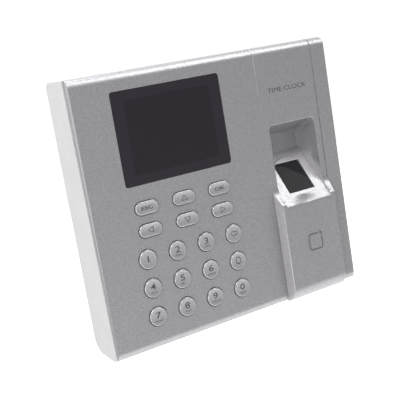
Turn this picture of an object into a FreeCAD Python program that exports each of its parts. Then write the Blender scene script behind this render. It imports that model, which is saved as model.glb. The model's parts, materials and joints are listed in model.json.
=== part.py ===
import FreeCAD, Part
import os
import re
import Sketcher

# Wall-mounted attendance time clock with a keypad, a colour display, a card reader and a
# fingerprint reader. World frame: the wall is the plane Y = 0, the face looks towards -Y,
# +Z is up, and the origin is the middle of the wall plate's back.
#
# Every piece is drawn in the facing frame, whose origin is the middle of the face:
# x runs to the right, y runs up, and z comes out of the face, so that depths are negative z.

# ---------------------------------------------------------------- driving dimensions, mm and degrees
SIZES = {
    # case
    "case_width": 182.4,
    "case_height": 164.0,
    "case_depth": 29.5,
    "wall_gap": 1.0,
    "front_inset": 0.95,
    "edge_round": 5.5,
    "rear_round": 5.0,
    "shell_wall": 2.2,
    "face_wall": 2.5,
    "rim_wall": 1.8,
    "plate_inset": 2.6,
    "parting_top": 5.2,
    "parting_bottom": 1.3,
    "parting_gap": 0.3,
    "bottom_flat": 8.0,
    "bottom_rise": 2.0,
    "bottom_round": 9.0,
    # display
    "window_x": -30.0,
    "window_y": 43.7,
    "window_width": 73.2,
    "window_height": 55.05,
    "window_round": 1.8,
    "window_margin": 6.0,
    "lens_gap": 0.15,
    "lens_thick": 1.2,
    "lens_sink": 0.3,
    "tape_thick": 0.2,
    "tape_width": 3.0,
    "panel_inset": 2.0,
    "panel_thick": 2.4,
    "frame_gap": 0.2,
    "frame_wall": 1.8,
    "frame_thick": 3.1,
    "flex_width": 18.0,
    "flex_thick": 0.2,
    "flex_reach": 10.0,
    # keys
    "keypad_x": -30.6,
    "round_rows_y": -44.75,
    "round_pitch_x": 20.24,
    "round_pitch_y": 17.53,
    "round_radius": 5.7,
    "pill_rows_y": -3.95,
    "pill_pitch_x": 25.25,
    "pill_pitch_y": 13.3,
    "pill_radius": 3.85,
    "pill_reach": 3.8,
    "key_gap": 0.35,
    "key_proud": 1.0,
    "key_edge": 0.6,
    "key_dish_radius": 50.0,
    "key_dish_depth": 0.25,
    "flange_lip": 0.7,
    "flange_gap": 0.05,
    "flange_thick": 1.0,
    "stem_radius": 1.7,
    "stem_gap": 0.5,
    "key_travel": 0.6,
    "dome_clearance": 0.2,
    "dome_radius": 3.0,
    "dome_height": 0.4,
    "mat_gap": 0.15,
    "mat_thick": 1.2,
    "mat_border": 1.8,
    "mat_post_gap": 0.3,
    "mat_rim": 2.5,
    # main board
    "board_right": 30.0,
    "board_bottom": -74.0,
    "board_height": 150.0,
    "board_depth": 7.6,
    "board_thick": 1.6,
    "board_hole_inset": 3.6,
    "board_hole_radius": 1.2,
    "board_post_radius": 2.6,
    "small_pilot_radius": 0.9,
    "small_screw_radius": 0.8,
    "small_screw_length": 4.5,
    "small_head_radius": 1.9,
    "small_head_height": 1.2,
    "small_drive_radius": 0.8,
    # sensor column
    "column_x": 56.2,
    "column_width": 45.45,
    "column_gap": 0.15,
    "channel_depth": 1.3,
    "ledge": 2.2,
    "opening_margin": 6.0,
    "block_proud": 6.85,
    "block_draft": 1.4,
    "block_wall": 2.0,
    "block_round": 9.5,
    "ramp_foot": -9.5,
    "platform_tilt": 38.0,
    "platform_drop": 1.0,
    "crest_round": 3.0,
    "foot_round": 9.0,
    "recess_width": 36.2,
    "recess_back_width": 31.0,
    "recess_top": 32.5,
    "recess_back_top": 24.8,
    "recess_depth": 18.7,
    "recess_round": 3.0,
    "pod_wall": 1.5,
    # fingerprint reader, measured along its tilted platform
    "window_centre": 9.5,
    "sensor_width": 20.4,
    "sensor_length": 23.0,
    "sensor_gap": 0.2,
    "glass_sink": 0.9,
    "glass_thick": 2.4,
    "gasket_thick": 0.8,
    "gasket_border": 2.4,
    "housing_border": 6.2,
    "housing_end": 4.0,
    "housing_deep": 9.0,
    "optic_wall": 3.0,
    "sensor_board_thick": 1.2,
    "sensor_screw_inset": 2.8,
    "ear_thick": 2.0,
    "cable_width": 10.0,
    "cable_thick": 0.4,
    # card reader
    "antenna_width": 35.0,
    "antenna_height": 42.0,
    "antenna_y": -50.0,
    "antenna_thick": 1.0,
    "antenna_turn_width": 2.0,
    # speaker
    "speaker_y": -48.0,
    "speaker_radius": 14.0,
    "speaker_thick": 5.0,
    "sound_hole_radius": 1.1,
    "sound_hole_pitch": 5.0,
    # clock battery
    "holder_x": -52.0,
    "holder_y": 22.0,
    "cell_radius": 10.0,
    "cell_thick": 3.2,
    "cell_gap": 0.2,
    "holder_wall": 1.6,
    "holder_floor": 1.0,
    # connector bay
    "bay_x": -15.0,
    "bay_width": 62.0,
    "bay_top": -42.0,
    "bay_wall": 1.5,
    "bay_depth": 11.0,
    "socket_gap": 0.3,
    "network_x": -33.0,
    "network_width": 16.0,
    "network_length": 21.0,
    "network_height": 13.5,
    "network_mouth_width": 11.8,
    "network_mouth_height": 8.6,
    "network_mouth_depth": 14.0,
    "power_x": -7.0,
    "power_width": 9.0,
    "power_length": 14.0,
    "power_height": 11.0,
    "power_bore_radius": 3.2,
    "power_bore_depth": 9.5,
    "power_pin_radius": 1.0,
    "data_x": 7.0,
    "data_width": 14.4,
    "data_length": 14.0,
    "data_height": 7.2,
    "data_mouth_width": 12.5,
    "data_mouth_height": 5.1,
    "data_mouth_depth": 9.0,
    "data_tongue_thick": 1.8,
    # case screws
    "post_inset": 7.7,
    "post_top_inset": 9.0,
    "post_bottom_rise": 22.0,
    "post_radius": 3.0,
    "post_end": 15.0,
    "boss_radius": 4.0,
    "case_pilot_radius": 1.25,
    "case_pilot_depth": 9.0,
    "case_screw_radius": 1.2,
    "case_screw_grip": 8.0,
    "case_clear_radius": 1.6,
    "case_head_radius": 2.7,
    "case_head_height": 2.0,
    "case_head_clear": 3.0,
    "case_head_seat": 20.0,
    # column screws
    "column_post_spacing": 28.0,
    "column_post_y": 58.0,
    "column_post_end": 6.0,
    "column_post_gap": 0.3,
    # wall plate
    "plate_width": 120.0,
    "plate_height": 78.0,
    "plate_sink": 1.0,
    "plate_thick": 2.0,
    "plate_round": 6.0,
    "plate_fit": 0.5,
    "plate_hole_radius": 2.25,
    "plate_spacing_x": 100.0,
    "plate_spacing_y": 60.0,
    "hook_spacing": 72.0,
    "hook_y": 26.0,
    "hook_width": 10.0,
    "hook_neck": 2.6,
    "hook_tongue": 6.0,
    "hook_thick": 1.2,
    "hook_gap": 0.2,
}

DEEP = "(case_depth + wall_gap)"
HALF_HEIGHT = "case_height / 2"
FRONT_WIDTH = "(case_width - 2 * front_inset)"
BOARD_BACK = "-board_depth - board_thick"
REAR_INSIDE = "-case_depth + shell_wall"
KEY_REACH = "(round_radius + key_gap + flange_lip + mat_border)"
BOARD_LEFT = (f"(keypad_x - 1.5 * round_pitch_x - {KEY_REACH} - mat_post_gap"
              " - board_post_radius - board_hole_inset)")
PANEL = ("(window_width - 2 * panel_inset)", "(window_height - 2 * panel_inset)")
PLATFORM_FOOT = "(ramp_foot - platform_drop / sin(platform_tilt))"
ROUND_KEYS = (("1", "2", "3", "back"), ("4", "5", "6", "bell"), ("7", "8", "9", "0"))
PILL_KEYS = (("esc", "up", "ok"), ("left", "down", "right"))
SOCKETS = ("network", "power", "data")
WORD = re.compile(r"[a-z][a-z_0-9]*")

doc = FreeCAD.newDocument("time_clock")
sheet = doc.addObject("Spreadsheet::Sheet", "Sizes")
for row, (alias, number) in enumerate(SIZES.items(), 1):
    sheet.set(f"A{row}", alias)
    sheet.set(f"B{row}", str(number))
    sheet.setAlias(f"B{row}", alias)
doc.recompute()


# ---------------------------------------------------------------- helpers
def cell(text):
    """The expression with each size's name turned into its spreadsheet cell."""
    return WORD.sub(lambda m: "Sizes." + m.group() if m.group() in SIZES else m.group(), str(text))


def value(text):
    """The number that an expression gives now."""
    return float(sheet.evalExpression(cell(text)))


def bind(thing, **expressions):
    """Bind properties to expressions; a double underscore in a name stands for a dot."""
    for name, text in expressions.items():
        thing.setExpression(name.replace("__", "."), cell(text))


def face(thing, x=0, y=0, z=0, tilt=0):
    """Place a thing in the facing frame, leaning back by tilt degrees."""
    thing.Placement = FreeCAD.Placement(FreeCAD.Vector(), FreeCAD.Rotation(FreeCAD.Vector(1, 0, 0), 90))
    bind(thing, Placement__Base__x=x, Placement__Base__y=f"-{DEEP} - ({z})", Placement__Base__z=y)
    bind(thing, Placement__Rotation__Angle=f"90 - ({tilt})")
    return thing


def cylinder(name, x, y, z, radius, height):
    """A round bar in the facing frame, from depth z outwards."""
    bar = face(doc.addObject("Part::Cylinder", name), x, y, z)
    bind(bar, Radius=radius, Height=height)
    return bar


def box(name, x, y, z, across, up, out):
    """A box in the facing frame, centred on x and y, from depth z outwards."""
    made = face(doc.addObject("Part::Box", name), f"{x} - ({across}) / 2", f"{y} - ({up}) / 2", z)
    bind(made, Length=across, Width=up, Height=out)
    return made


def cut(name, base, *tools):
    """Base without the tools."""
    tool = tools[0]
    if len(tools) > 1:
        tool = doc.addObject("Part::MultiFuse", name + "_tools")
        tool.Shapes = list(tools)
    made = doc.addObject("Part::Cut", name)
    made.Base, made.Tool = base, tool
    return made


def group(name, pieces):
    """Separate solids that are one node."""
    made = doc.addObject("Part::Compound", name)
    made.Links = pieces
    return made


def screw(name, x, y, seat, radius, length, head_radius, head_height):
    """A pan-head screw driven from behind: its head sits behind the depth seat."""
    shank = cylinder(name + "_shank", x, y, f"{seat} - 0.1", radius, f"{length} + 0.1")
    head = cylinder(name + "_head", x, y, f"{seat} - ({head_height})", head_radius, head_height)
    whole = doc.addObject("Part::MultiFuse", name + "_blank")
    whole.Shapes = [shank, head]
    drive = cylinder(name + "_drive", x, y, f"{seat} - ({head_height})", "small_drive_radius",
                     f"({head_height}) / 2")
    return cut(name, whole, drive)


class Piece:
    """One body, drawn in the facing frame or on the reader's tilted platform."""

    def __init__(self, label, x=0, y=0, z=0, tilt=0):
        self.body = doc.addObject("PartDesign::Body", label)
        self.body.Label = label
        face(self.body, x, y, z, tilt)

    def sketch(self, plane, level):
        origin = [part for part in self.body.Origin.OriginFeatures if part.Role == plane][0]
        made = self.body.newObject("Sketcher::SketchObject", self.body.Name + "_outline")
        made.AttachmentSupport = [(origin, "")]
        made.MapMode = "FlatFace"
        bind(made, AttachmentOffset__Base__z=level)
        return made

    def pin_point(self, sketch, geometry, point, x, y):
        for kind, text in (("DistanceX", x), ("DistanceY", y)):
            number = sketch.addConstraint(Sketcher.Constraint(kind, -1, 1, geometry, point, value(text)))
            sketch.setExpression(f"Constraints[{number}]", cell(text))

    def polygon(self, points, plane="XY_Plane", level=0):
        sketch = self.sketch(plane, level)
        places = [FreeCAD.Vector(value(x), value(y), 0) for x, y in points]
        last = len(points) - 1
        for i, place in enumerate(places):
            sketch.addGeometry(Part.LineSegment(place, places[i + 1 if i < last else 0]), False)
        for i in range(len(points)):
            sketch.addConstraint(Sketcher.Constraint("Coincident", i, 2, i + 1 if i < last else 0, 1))
        for i, (x, y) in enumerate(points):
            self.pin_point(sketch, i, 1, x, y)
        return sketch

    def rectangle(self, x, y, across, up, level=0):
        left, right = f"{x} - ({across}) / 2", f"{x} + ({across}) / 2"
        low, high = f"{y} - ({up}) / 2", f"{y} + ({up}) / 2"
        return self.polygon([(left, low), (right, low), (right, high), (left, high)], level=level)

    def circles(self, centres, radius, level=0):
        sketch = self.sketch("XY_Plane", level)
        normal = FreeCAD.Vector(0, 0, 1)
        for i, (x, y) in enumerate(centres):
            place = FreeCAD.Vector(value(x), value(y), 0)
            sketch.addGeometry(Part.Circle(place, normal, value(radius)), False)
            self.pin_point(sketch, i, 3, x, y)
            number = sketch.addConstraint(Sketcher.Constraint("Radius", i, value(radius)))
            sketch.setExpression(f"Constraints[{number}]", cell(radius))
        return sketch

    def extrude(self, kind, sketch, length, symmetric=False, outwards=False):
        made = self.body.newObject("PartDesign::" + kind, f"{self.body.Name}_{kind.lower()}")
        made.Profile = sketch
        if symmetric:
            made.SideType = "Symmetric"
        bind(made, Length=length)
        made.Reversed = outwards if kind == "Pocket" else not outwards and not symmetric
        return made

    def pad(self, sketch, length, **options):
        return self.extrude("Pad", sketch, length, **options)

    def pocket(self, sketch, length, **options):
        return self.extrude("Pocket", sketch, length, **options)

    def solid_box(self, kind, x, y, z, across, up, out):
        made = self.body.newObject(f"PartDesign::{kind}Box", f"{self.body.Name}_{kind.lower()}_box")
        bind(made, Length=across, Width=up, Height=out, Placement__Base__x=f"{x} - ({across}) / 2")
        bind(made, Placement__Base__y=f"{y} - ({up}) / 2", Placement__Base__z=z)
        return made

    def add(self, *limits):
        return self.solid_box("Additive", *limits)

    def carve(self, *limits):
        return self.solid_box("Subtractive", *limits)

    def round_edges(self, radius, chosen):
        doc.recompute()
        base = self.body.Tip
        names = [f"Edge{i}" for i, edge in enumerate(base.Shape.Edges, 1) if chosen(edge)]
        made = self.body.newObject("PartDesign::Fillet", self.body.Name + "_fillet")
        made.Base = (base, names)
        bind(made, Radius=radius)
        return made


def along_x_at(*places):
    """Picks straight edges along x that pass through the given (y, z) places."""
    spots = [(value(y), value(z)) for y, z in places]

    def chosen(edge):
        box = edge.BoundBox
        level = box.YLength < 1e-4 and box.ZLength < 1e-4
        return level and any(abs(box.YMin - y) < 1e-4 and abs(box.ZMin - z) < 1e-4 for y, z in spots)

    return chosen


def corners_at(places, low, high):
    """Picks edges along z at the given (x, y) places, between two depths."""
    spots = [(value(x), value(y)) for x, y in places]
    bottom, top = value(low) - 1e-4, value(high) + 1e-4

    def chosen(edge):
        box = edge.BoundBox
        upright = box.XLength < 1e-4 and box.YLength < 1e-4 and bottom < box.ZMin and box.ZMax < top
        return upright and any(abs(box.XMin - x) < 1e-4 and abs(box.YMin - y) < 1e-4 for x, y in spots)

    return chosen


def slanting_from(places):
    """Picks edges that start on the face at the given (x, y) places and run inwards at a slant."""
    spots = [(value(x), value(y)) for x, y in places]

    def chosen(edge):
        ends = [vertex.Point for vertex in edge.Vertexes]
        runs_in = len(ends) == 2 and abs(ends[0].z - ends[1].z) > 1
        near = [end for end in ends if abs(end.z) < 1e-3]
        return runs_in and any(abs(end.x - x) + abs(end.y - y) < 1e-3 for end in near for x, y in spots)

    return chosen


def corners(x, y, across, up):
    """The four corner places of a rectangle."""
    return [(f"{x} + {i} * ({across}) / 2", f"{y} + {j} * ({up}) / 2") for i in (-1, 1) for j in (-1, 1)]


def round_places():
    """Name and place of each round key."""
    for row, names in enumerate(ROUND_KEYS):
        y = f"round_rows_y + {1 - row} * round_pitch_y"
        for column, name in enumerate(names):
            yield name, f"keypad_x + {column - 1.5} * round_pitch_x", y


def pill_places():
    """Name and place of each pill-shaped key."""
    for row, names in enumerate(PILL_KEYS):
        y = f"pill_rows_y + {0.5 - row} * pill_pitch_y"
        for column, name in enumerate(names):
            yield name, f"keypad_x + {column - 1} * pill_pitch_x", y


def case_screw_places():
    """The four case screws, near the case's corners."""
    across = "(case_width / 2 - post_inset)"
    return [(f"{side} * {across}", height) for side in (-1, 1) for height in
            (f"{HALF_HEIGHT} - post_top_inset", f"-{HALF_HEIGHT} + post_bottom_rise")]


def board_screw_places():
    """The six screws that hold the main board to the face's posts."""
    left = f"{BOARD_LEFT} + board_hole_inset"
    right = "board_right - board_hole_inset"
    low = "board_bottom + board_hole_inset"
    high = "board_bottom + board_height - board_hole_inset"
    middle = "board_bottom + board_height / 2"
    return [(x, y) for x in (left, right) for y in (low, middle, high)]


def column_screw_places():
    """The two screws that hold the sensor cover's upper half."""
    return [(f"column_x + {side} * column_post_spacing / 2", "column_post_y") for side in (-1, 1)]


def bottom_corner(wall, rear):
    """Three places that follow the rounded bottom rear corner, one wall inside it."""
    centre_y, centre_z = f"-{HALF_HEIGHT} + bottom_rise + bottom_round", "-case_depth + bottom_round"
    reach = f"(bottom_round - {wall})"
    return [
        (centre_y, rear),
        (f"{centre_y} - {reach} * sin(45)", f"{centre_z} - {reach} * cos(45)"),
        (f"{centre_y} - {reach}", centre_z),
    ]


def parting(gap):
    """The wedge behind the tapered line where the front cover ends and the rear cover starts."""
    drop = f"(parting_top - parting_bottom) / case_height"
    low = f"-parting_bottom + {drop} - ({gap})"
    high = f"-parting_top - {drop} - ({gap})"
    return f"-{HALF_HEIGHT} - 1", low, f"{HALF_HEIGHT} + 1", high


nodes = {}


# ---------------------------------------------------------------- front cover
def make_front_cover():
    """The face: a flat plate with rounded top and bottom edges, posts, and holes for what shows."""
    part = Piece("front_cover")
    depth = "2 * edge_round"
    low = f"-{HALF_HEIGHT}"
    side = [(low, "0"), (low, f"-{depth}"), (HALF_HEIGHT, f"-{depth}"), (HALF_HEIGHT, "0")]
    part.pad(part.polygon(side, "YZ_Plane"), FRONT_WIDTH, symmetric=True)
    part.round_edges("edge_round", along_x_at(side[0], side[3]))
    low_y, low_z, high_y, high_z = parting(0)
    wedge = [(low_y, low_z), (high_y, high_z), (high_y, "-3 * edge_round"), (low_y, "-3 * edge_round")]
    part.pocket(part.polygon(wedge, "YZ_Plane"), "2 * case_width", symmetric=True)
    slot = "column_width + 2 * column_gap"
    part.carve("column_x", "0", f"-{depth} - 1", slot, "case_height + 2", f"{depth} + 2")
    inner = [f"{size} - 2 * plate_inset" for size in (FRONT_WIDTH, "case_height")]
    part.pad(part.rectangle("0", "0", *inner, level="-channel_depth"), "face_wall - channel_depth")
    hollow = [f"{size} - 2 * rim_wall" for size in (FRONT_WIDTH, "case_height")]
    part.pocket(part.rectangle("0", "0", *hollow, level="-face_wall"), depth)
    above = f"{HALF_HEIGHT} - edge_round - plate_fit + case_height / 2"
    part.carve("column_x", above, f"-{depth}", slot, "case_height", depth)

    window = ("window_x", "window_y", "window_width", "window_height")
    part.carve(*window[:2], "-lens_sink - lens_thick - tape_thick", *window[2:], "face_wall")
    part.round_edges("window_round", corners_at(corners(*window), "-face_wall", "0"))
    opening = [f"{size} - 2 * window_margin" for size in window[2:]]
    part.carve(*window[:2], "-2 * face_wall", *opening, "3 * face_wall")

    spots = [(x, y) for name, x, y in round_places()]
    part.pocket(part.circles(spots, "round_radius + key_gap", "1"), "2 * face_wall")
    for name, x, y in pill_places():
        part.carve(x, y, "-2 * face_wall", "2 * pill_reach", "2 * (pill_radius + key_gap)", "3 * face_wall")
    for side in (-1, 1):
        spots = [(f"{x} + {side} * pill_reach", y) for name, x, y in pill_places()]
        part.pocket(part.circles(spots, "pill_radius + key_gap", "1"), "2 * face_wall")

    bottom, top = f"({low} + opening_margin)", "(recess_top + opening_margin)"
    middle, tall = f"({bottom} + {top}) / 2", f"{top} - {bottom}"
    part.carve("column_x", middle, "-2 * face_wall", "column_width - 2 * ledge", tall, "3 * face_wall")
    posts = part.circles(column_screw_places(), "board_post_radius + column_post_gap", "1")
    part.pocket(posts, "2 * face_wall")

    part.pad(part.circles(board_screw_places(), "board_post_radius", "-face_wall"), "board_depth - face_wall")
    pilots = part.circles(board_screw_places(), "small_pilot_radius", "-board_depth")
    part.pocket(pilots, "small_screw_length", outwards=True)
    part.pad(part.circles(case_screw_places(), "post_radius", "-face_wall"), "post_end - face_wall")
    pilots = part.circles(case_screw_places(), "case_pilot_radius", "-post_end")
    part.pocket(pilots, "case_pilot_depth", outwards=True)
    return part.body


# ---------------------------------------------------------------- rear cover
def make_rear_cover():
    """The deep shell: rounded edges, a bottom that rises to the rear, a connector bay and a plate seat."""
    part = Piece("rear_cover")
    low = f"-{HALF_HEIGHT}"
    side = [
        (low, "0"),
        (HALF_HEIGHT, "0"),
        (HALF_HEIGHT, "-case_depth"),
        (f"{low} + bottom_rise", "-case_depth"),
        (low, "-bottom_flat"),
    ]
    part.pad(part.polygon(side, "YZ_Plane"), "case_width", symmetric=True)
    part.round_edges("edge_round", along_x_at(side[0], side[1]))
    part.round_edges("rear_round", along_x_at(side[2]))
    part.round_edges("bottom_round", along_x_at(side[3]))
    low_y, low_z, high_y, high_z = parting("parting_gap")
    wedge = [(low_y, "edge_round"), (high_y, "edge_round"), (high_y, high_z), (low_y, low_z)]
    part.pocket(part.polygon(wedge, "YZ_Plane"), "2 * case_width", symmetric=True)

    wall = "shell_wall"
    inside = [
        (f"{low} + {wall}", "1"),
        (f"{HALF_HEIGHT} - {wall}", "1"),
        (f"{HALF_HEIGHT} - {wall}", "-case_depth + rear_round"),
        (f"{HALF_HEIGHT} - rear_round", REAR_INSIDE),
        *bottom_corner(wall, REAR_INSIDE),
        (f"{low} + {wall}", "-bottom_flat"),
    ]
    part.pocket(part.polygon(inside, "YZ_Plane"), f"case_width - 2 * {wall}", symmetric=True)

    half = f"({wall} / 2)"
    bay = [
        ("bay_top + bay_wall", "-bay_depth + bay_wall"),
        ("bay_top + bay_wall", f"-case_depth + {half}"),
        *bottom_corner(half, f"-case_depth + {half}"),
        (f"{low} + {half} + 0.5", "-bay_depth + bay_wall"),
    ]
    part.pad(part.polygon(bay, "YZ_Plane", "bay_x"), "bay_width + 2 * bay_wall", symmetric=True)
    part.carve("bay_x", f"bay_top - {HALF_HEIGHT}", "-2 * case_depth", "bay_width", "case_height",
               "2 * case_depth - bay_depth")
    for name in SOCKETS:
        tall = f"({name}_height + socket_gap)"
        across = f"{name}_width + 2 * socket_gap"
        part.carve(f"{name}_x", "bay_top", f"{BOARD_BACK} - {tall}", across, "4 * bay_wall", tall)

    seat = f"({REAR_INSIDE} - shell_wall / 2)"
    bosses = part.circles(case_screw_places(), "boss_radius", seat)
    part.pad(bosses, f"-{seat} - post_end - socket_gap", outwards=True)
    part.pocket(part.circles(case_screw_places(), "case_clear_radius", "-post_end + 1"), "2 * case_depth")
    part.pocket(part.circles(case_screw_places(), "case_head_clear", "-case_head_seat"), "2 * case_depth")

    plate = [f"{size} + 2 * plate_fit" for size in ("plate_width", "plate_height")]
    part.carve("0", "0", "-2 * case_depth", *plate, "case_depth + plate_sink")
    for side in (-1, 1):
        up = "hook_tongue + hook_neck + 2 * plate_fit"
        middle = f"hook_y + hook_neck / 2 + hook_gap - ({up}) / 2"
        part.carve(f"{side} * hook_spacing / 2", middle, "-2 * case_depth", "hook_width + 2 * plate_fit", up,
                   "case_depth + 2 * shell_wall")
    spots = [("column_x", "speaker_y")]
    spots += [(f"column_x + {i} * sound_hole_pitch", f"speaker_y + {j} * sound_hole_pitch")
              for i, j in ((-1, 0), (1, 0), (-0.5, 0.866), (0.5, 0.866), (-0.5, -0.866), (0.5, -0.866))]
    part.pocket(part.circles(spots, "sound_hole_radius", f"{REAR_INSIDE} + 1"), "2 * shell_wall")
    return part.body


# ---------------------------------------------------------------- sensor cover
def make_sensor_cover():
    """The column: a thin cover above, a proud block below, and the drafted finger recess between them."""
    part = Piece("sensor_cover", x="column_x")
    low = f"-{HALF_HEIGHT}"
    slope = "/ tan(platform_tilt)"
    crest = f"(ramp_foot - block_proud {slope})"
    depth = "2 * edge_round"
    side = [
        (low, f"-{depth}"),
        (low, "block_proud"),
        (crest, "block_proud"),
        ("ramp_foot", "0"),
        (HALF_HEIGHT, "0"),
        (HALF_HEIGHT, f"-{depth}"),
    ]
    part.pad(part.polygon(side, "YZ_Plane"), "column_width", symmetric=True)
    proud = "(block_proud + 1)"
    channel = [
        (PLATFORM_FOOT, "0"),
        (f"{PLATFORM_FOOT} - {proud} {slope}", proud),
        ("recess_top", proud),
        ("recess_top", "0"),
    ]
    part.pocket(part.polygon(channel, "YZ_Plane"), "recess_width", symmetric=True)
    part.round_edges("block_round", along_x_at(side[1]))
    part.round_edges("edge_round", along_x_at(side[4]))
    part.round_edges("foot_round", along_x_at(side[3]))
    platform_crest = (f"{PLATFORM_FOOT} - block_proud {slope}", "block_proud")
    part.round_edges("crest_round", along_x_at(side[2], platform_crest))
    low_y, low_z, high_y, high_z = parting(0)
    wedge = [(low_y, low_z), (high_y, high_z), (high_y, "-3 * edge_round"), (low_y, "-3 * edge_round")]
    part.pocket(part.polygon(wedge, "YZ_Plane"), "2 * column_width", symmetric=True)
    for side_sign in (-1, 1):
        edge = f"{side_sign} * column_width / 2"
        draft = [(edge, "0"), (f"{edge} - {side_sign} * block_draft", "block_proud"),
                 (f"{edge} - {side_sign} * block_draft", "2 * block_proud"),
                 (f"{edge} + {side_sign}", "2 * block_proud"), (f"{edge} + {side_sign}", "0")]
        part.pocket(part.polygon(draft, "XZ_Plane"), "2 * case_height", symmetric=True)
    behind = [
        (low, "-channel_depth"),
        (f"{HALF_HEIGHT} - edge_round", "-channel_depth"),
        (f"{HALF_HEIGHT} - rim_wall", "-edge_round"),
        (f"{HALF_HEIGHT} - rim_wall", f"-{depth}"),
        (low, f"-{depth}"),
    ]
    part.pocket(part.polygon(behind, "YZ_Plane"), "2 * column_width", symmetric=True)

    wall = "block_wall"
    hollow = [
        (f"{low} + {wall}", "-face_wall"),
        (f"{low} + {wall}", f"block_proud - block_round / 2"),
        (f"{low} + {wall} + block_round / 2", f"block_proud - {wall}"),
        (f"{crest} - {wall} / 2", f"block_proud - {wall}"),
        (f"ramp_foot - {wall} / sin(platform_tilt) + face_wall {slope}", "-face_wall"),
    ]
    across = f"column_width - 2 * block_draft - 2 * {wall}"
    part.pocket(part.polygon(hollow, "YZ_Plane"), across, symmetric=True)

    back = "(recess_depth + pod_wall)"
    under = "pod_wall / sin(platform_tilt)"
    pod = [
        ("recess_top + pod_wall", "-channel_depth / 2"),
        ("recess_back_top + pod_wall", f"-{back}"),
        (f"{PLATFORM_FOOT} + {back} {slope} - {under}", f"-{back}"),
        (f"{PLATFORM_FOOT} - (block_proud - {wall} - 0.1) {slope} - {under}", f"block_proud - {wall} - 0.1"),
        (f"{crest} + {under}", f"block_proud - {wall} / 2"),
        ("ramp_foot", "-channel_depth / 2"),
    ]
    part.pad(part.polygon(pod, "YZ_Plane"), "recess_width + 2 * pod_wall", symmetric=True)
    part.pocket(part.polygon(channel, "YZ_Plane"), "recess_width", symmetric=True)
    tall = f"(recess_top - {PLATFORM_FOOT})"
    mouth = part.rectangle("0", f"recess_top - {tall} / 2", "recess_width", tall)
    floor = f"({PLATFORM_FOOT} + recess_depth {slope})"
    short = f"(recess_back_top - {floor})"
    middle = f"recess_back_top - {short} / 2"
    end = part.rectangle("0", middle, "recess_back_width", short, level="-recess_depth")
    recess = part.body.newObject("PartDesign::SubtractiveLoft", "finger_recess")
    recess.Profile = mouth
    recess.Sections = [end]
    recess.Ruled = True
    top_corners = [(f"{side} * recess_width / 2", "recess_top") for side in (-1, 1)]
    part.round_edges("recess_round", slanting_from(top_corners))

    part.carve("0", "0", "0", "sensor_width", "sensor_length", "4 * pod_wall")
    window = part.body.Tip
    window.Placement = FreeCAD.Placement(FreeCAD.Vector(), FreeCAD.Rotation(FreeCAD.Vector(1, 0, 0), -1))
    shift, sink = "(window_centre - sensor_length / 2)", "(2 * pod_wall)"
    rise = f"{shift} * cos(platform_tilt) - {sink} * sin(platform_tilt)"
    bind(window, Placement__Rotation__Angle="-platform_tilt", Placement__Base__x="-sensor_width / 2",
         Placement__Base__y=f"{PLATFORM_FOOT} + {rise}",
         Placement__Base__z=f"-{shift} * sin(platform_tilt) - {sink} * cos(platform_tilt)")

    spots = [(f"{x} - column_x", y) for x, y in column_screw_places()]
    part.pad(part.circles(spots, "board_post_radius", "-channel_depth"), "column_post_end - channel_depth")
    pilots = part.circles(spots, "small_pilot_radius", "-column_post_end")
    part.pocket(pilots, "small_screw_length", outwards=True)
    return part.body


# ---------------------------------------------------------------- keys
def make_round_key(name, x, y):
    """A round cap with a rounded rim and a shallow dish, a retaining flange and a stem."""
    part = Piece("key_" + name, x=x, y=y)
    flange = "-face_wall - flange_gap"
    part.pad(part.circles([("0", "0")], "round_radius", "key_proud"), "key_proud + face_wall + flange_gap")
    part.round_edges("key_edge", lambda edge: abs(edge.BoundBox.ZMin - value("key_proud")) < 1e-4)
    part.pad(part.circles([("0", "0")], "round_radius + key_gap + flange_lip", flange), "flange_thick")
    finish_key(part)
    return part.body


def make_pill_key(name, x, y):
    """A pill-shaped cap with a rounded rim and a shallow dish, a retaining flange and a stem."""
    part = Piece("key_" + name, x=x, y=y)
    tall = "key_proud + face_wall + flange_gap"
    levels = (("pill_radius", "key_proud", tall),
              ("pill_radius + key_gap + flange_lip", "-face_wall - flange_gap", "flange_thick"))
    for radius, level, thick in levels:
        part.add("0", "0", f"{level} - ({thick})", "2 * pill_reach", f"2 * ({radius})", thick)
        for side in (-1, 1):
            part.pad(part.circles([(f"{side} * pill_reach", "0")], radius, level), thick)
    part.round_edges("key_edge", lambda edge: edge.BoundBox.ZMin > value("key_proud") - 1e-4)
    finish_key(part)
    return part.body


def finish_key(part):
    """The stem that presses the dome, and the dish in the cap."""
    part.pad(part.circles([("0", "0")], "stem_radius", "-face_wall - flange_gap"),
             "board_depth - dome_height - dome_clearance - key_travel - face_wall - flange_gap + 0.05")
    dish = part.body.newObject("PartDesign::SubtractiveSphere", part.body.Name + "_dish")
    bind(dish, Radius="key_dish_radius", Placement__Base__z="key_proud - key_dish_depth + key_dish_radius")


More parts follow.
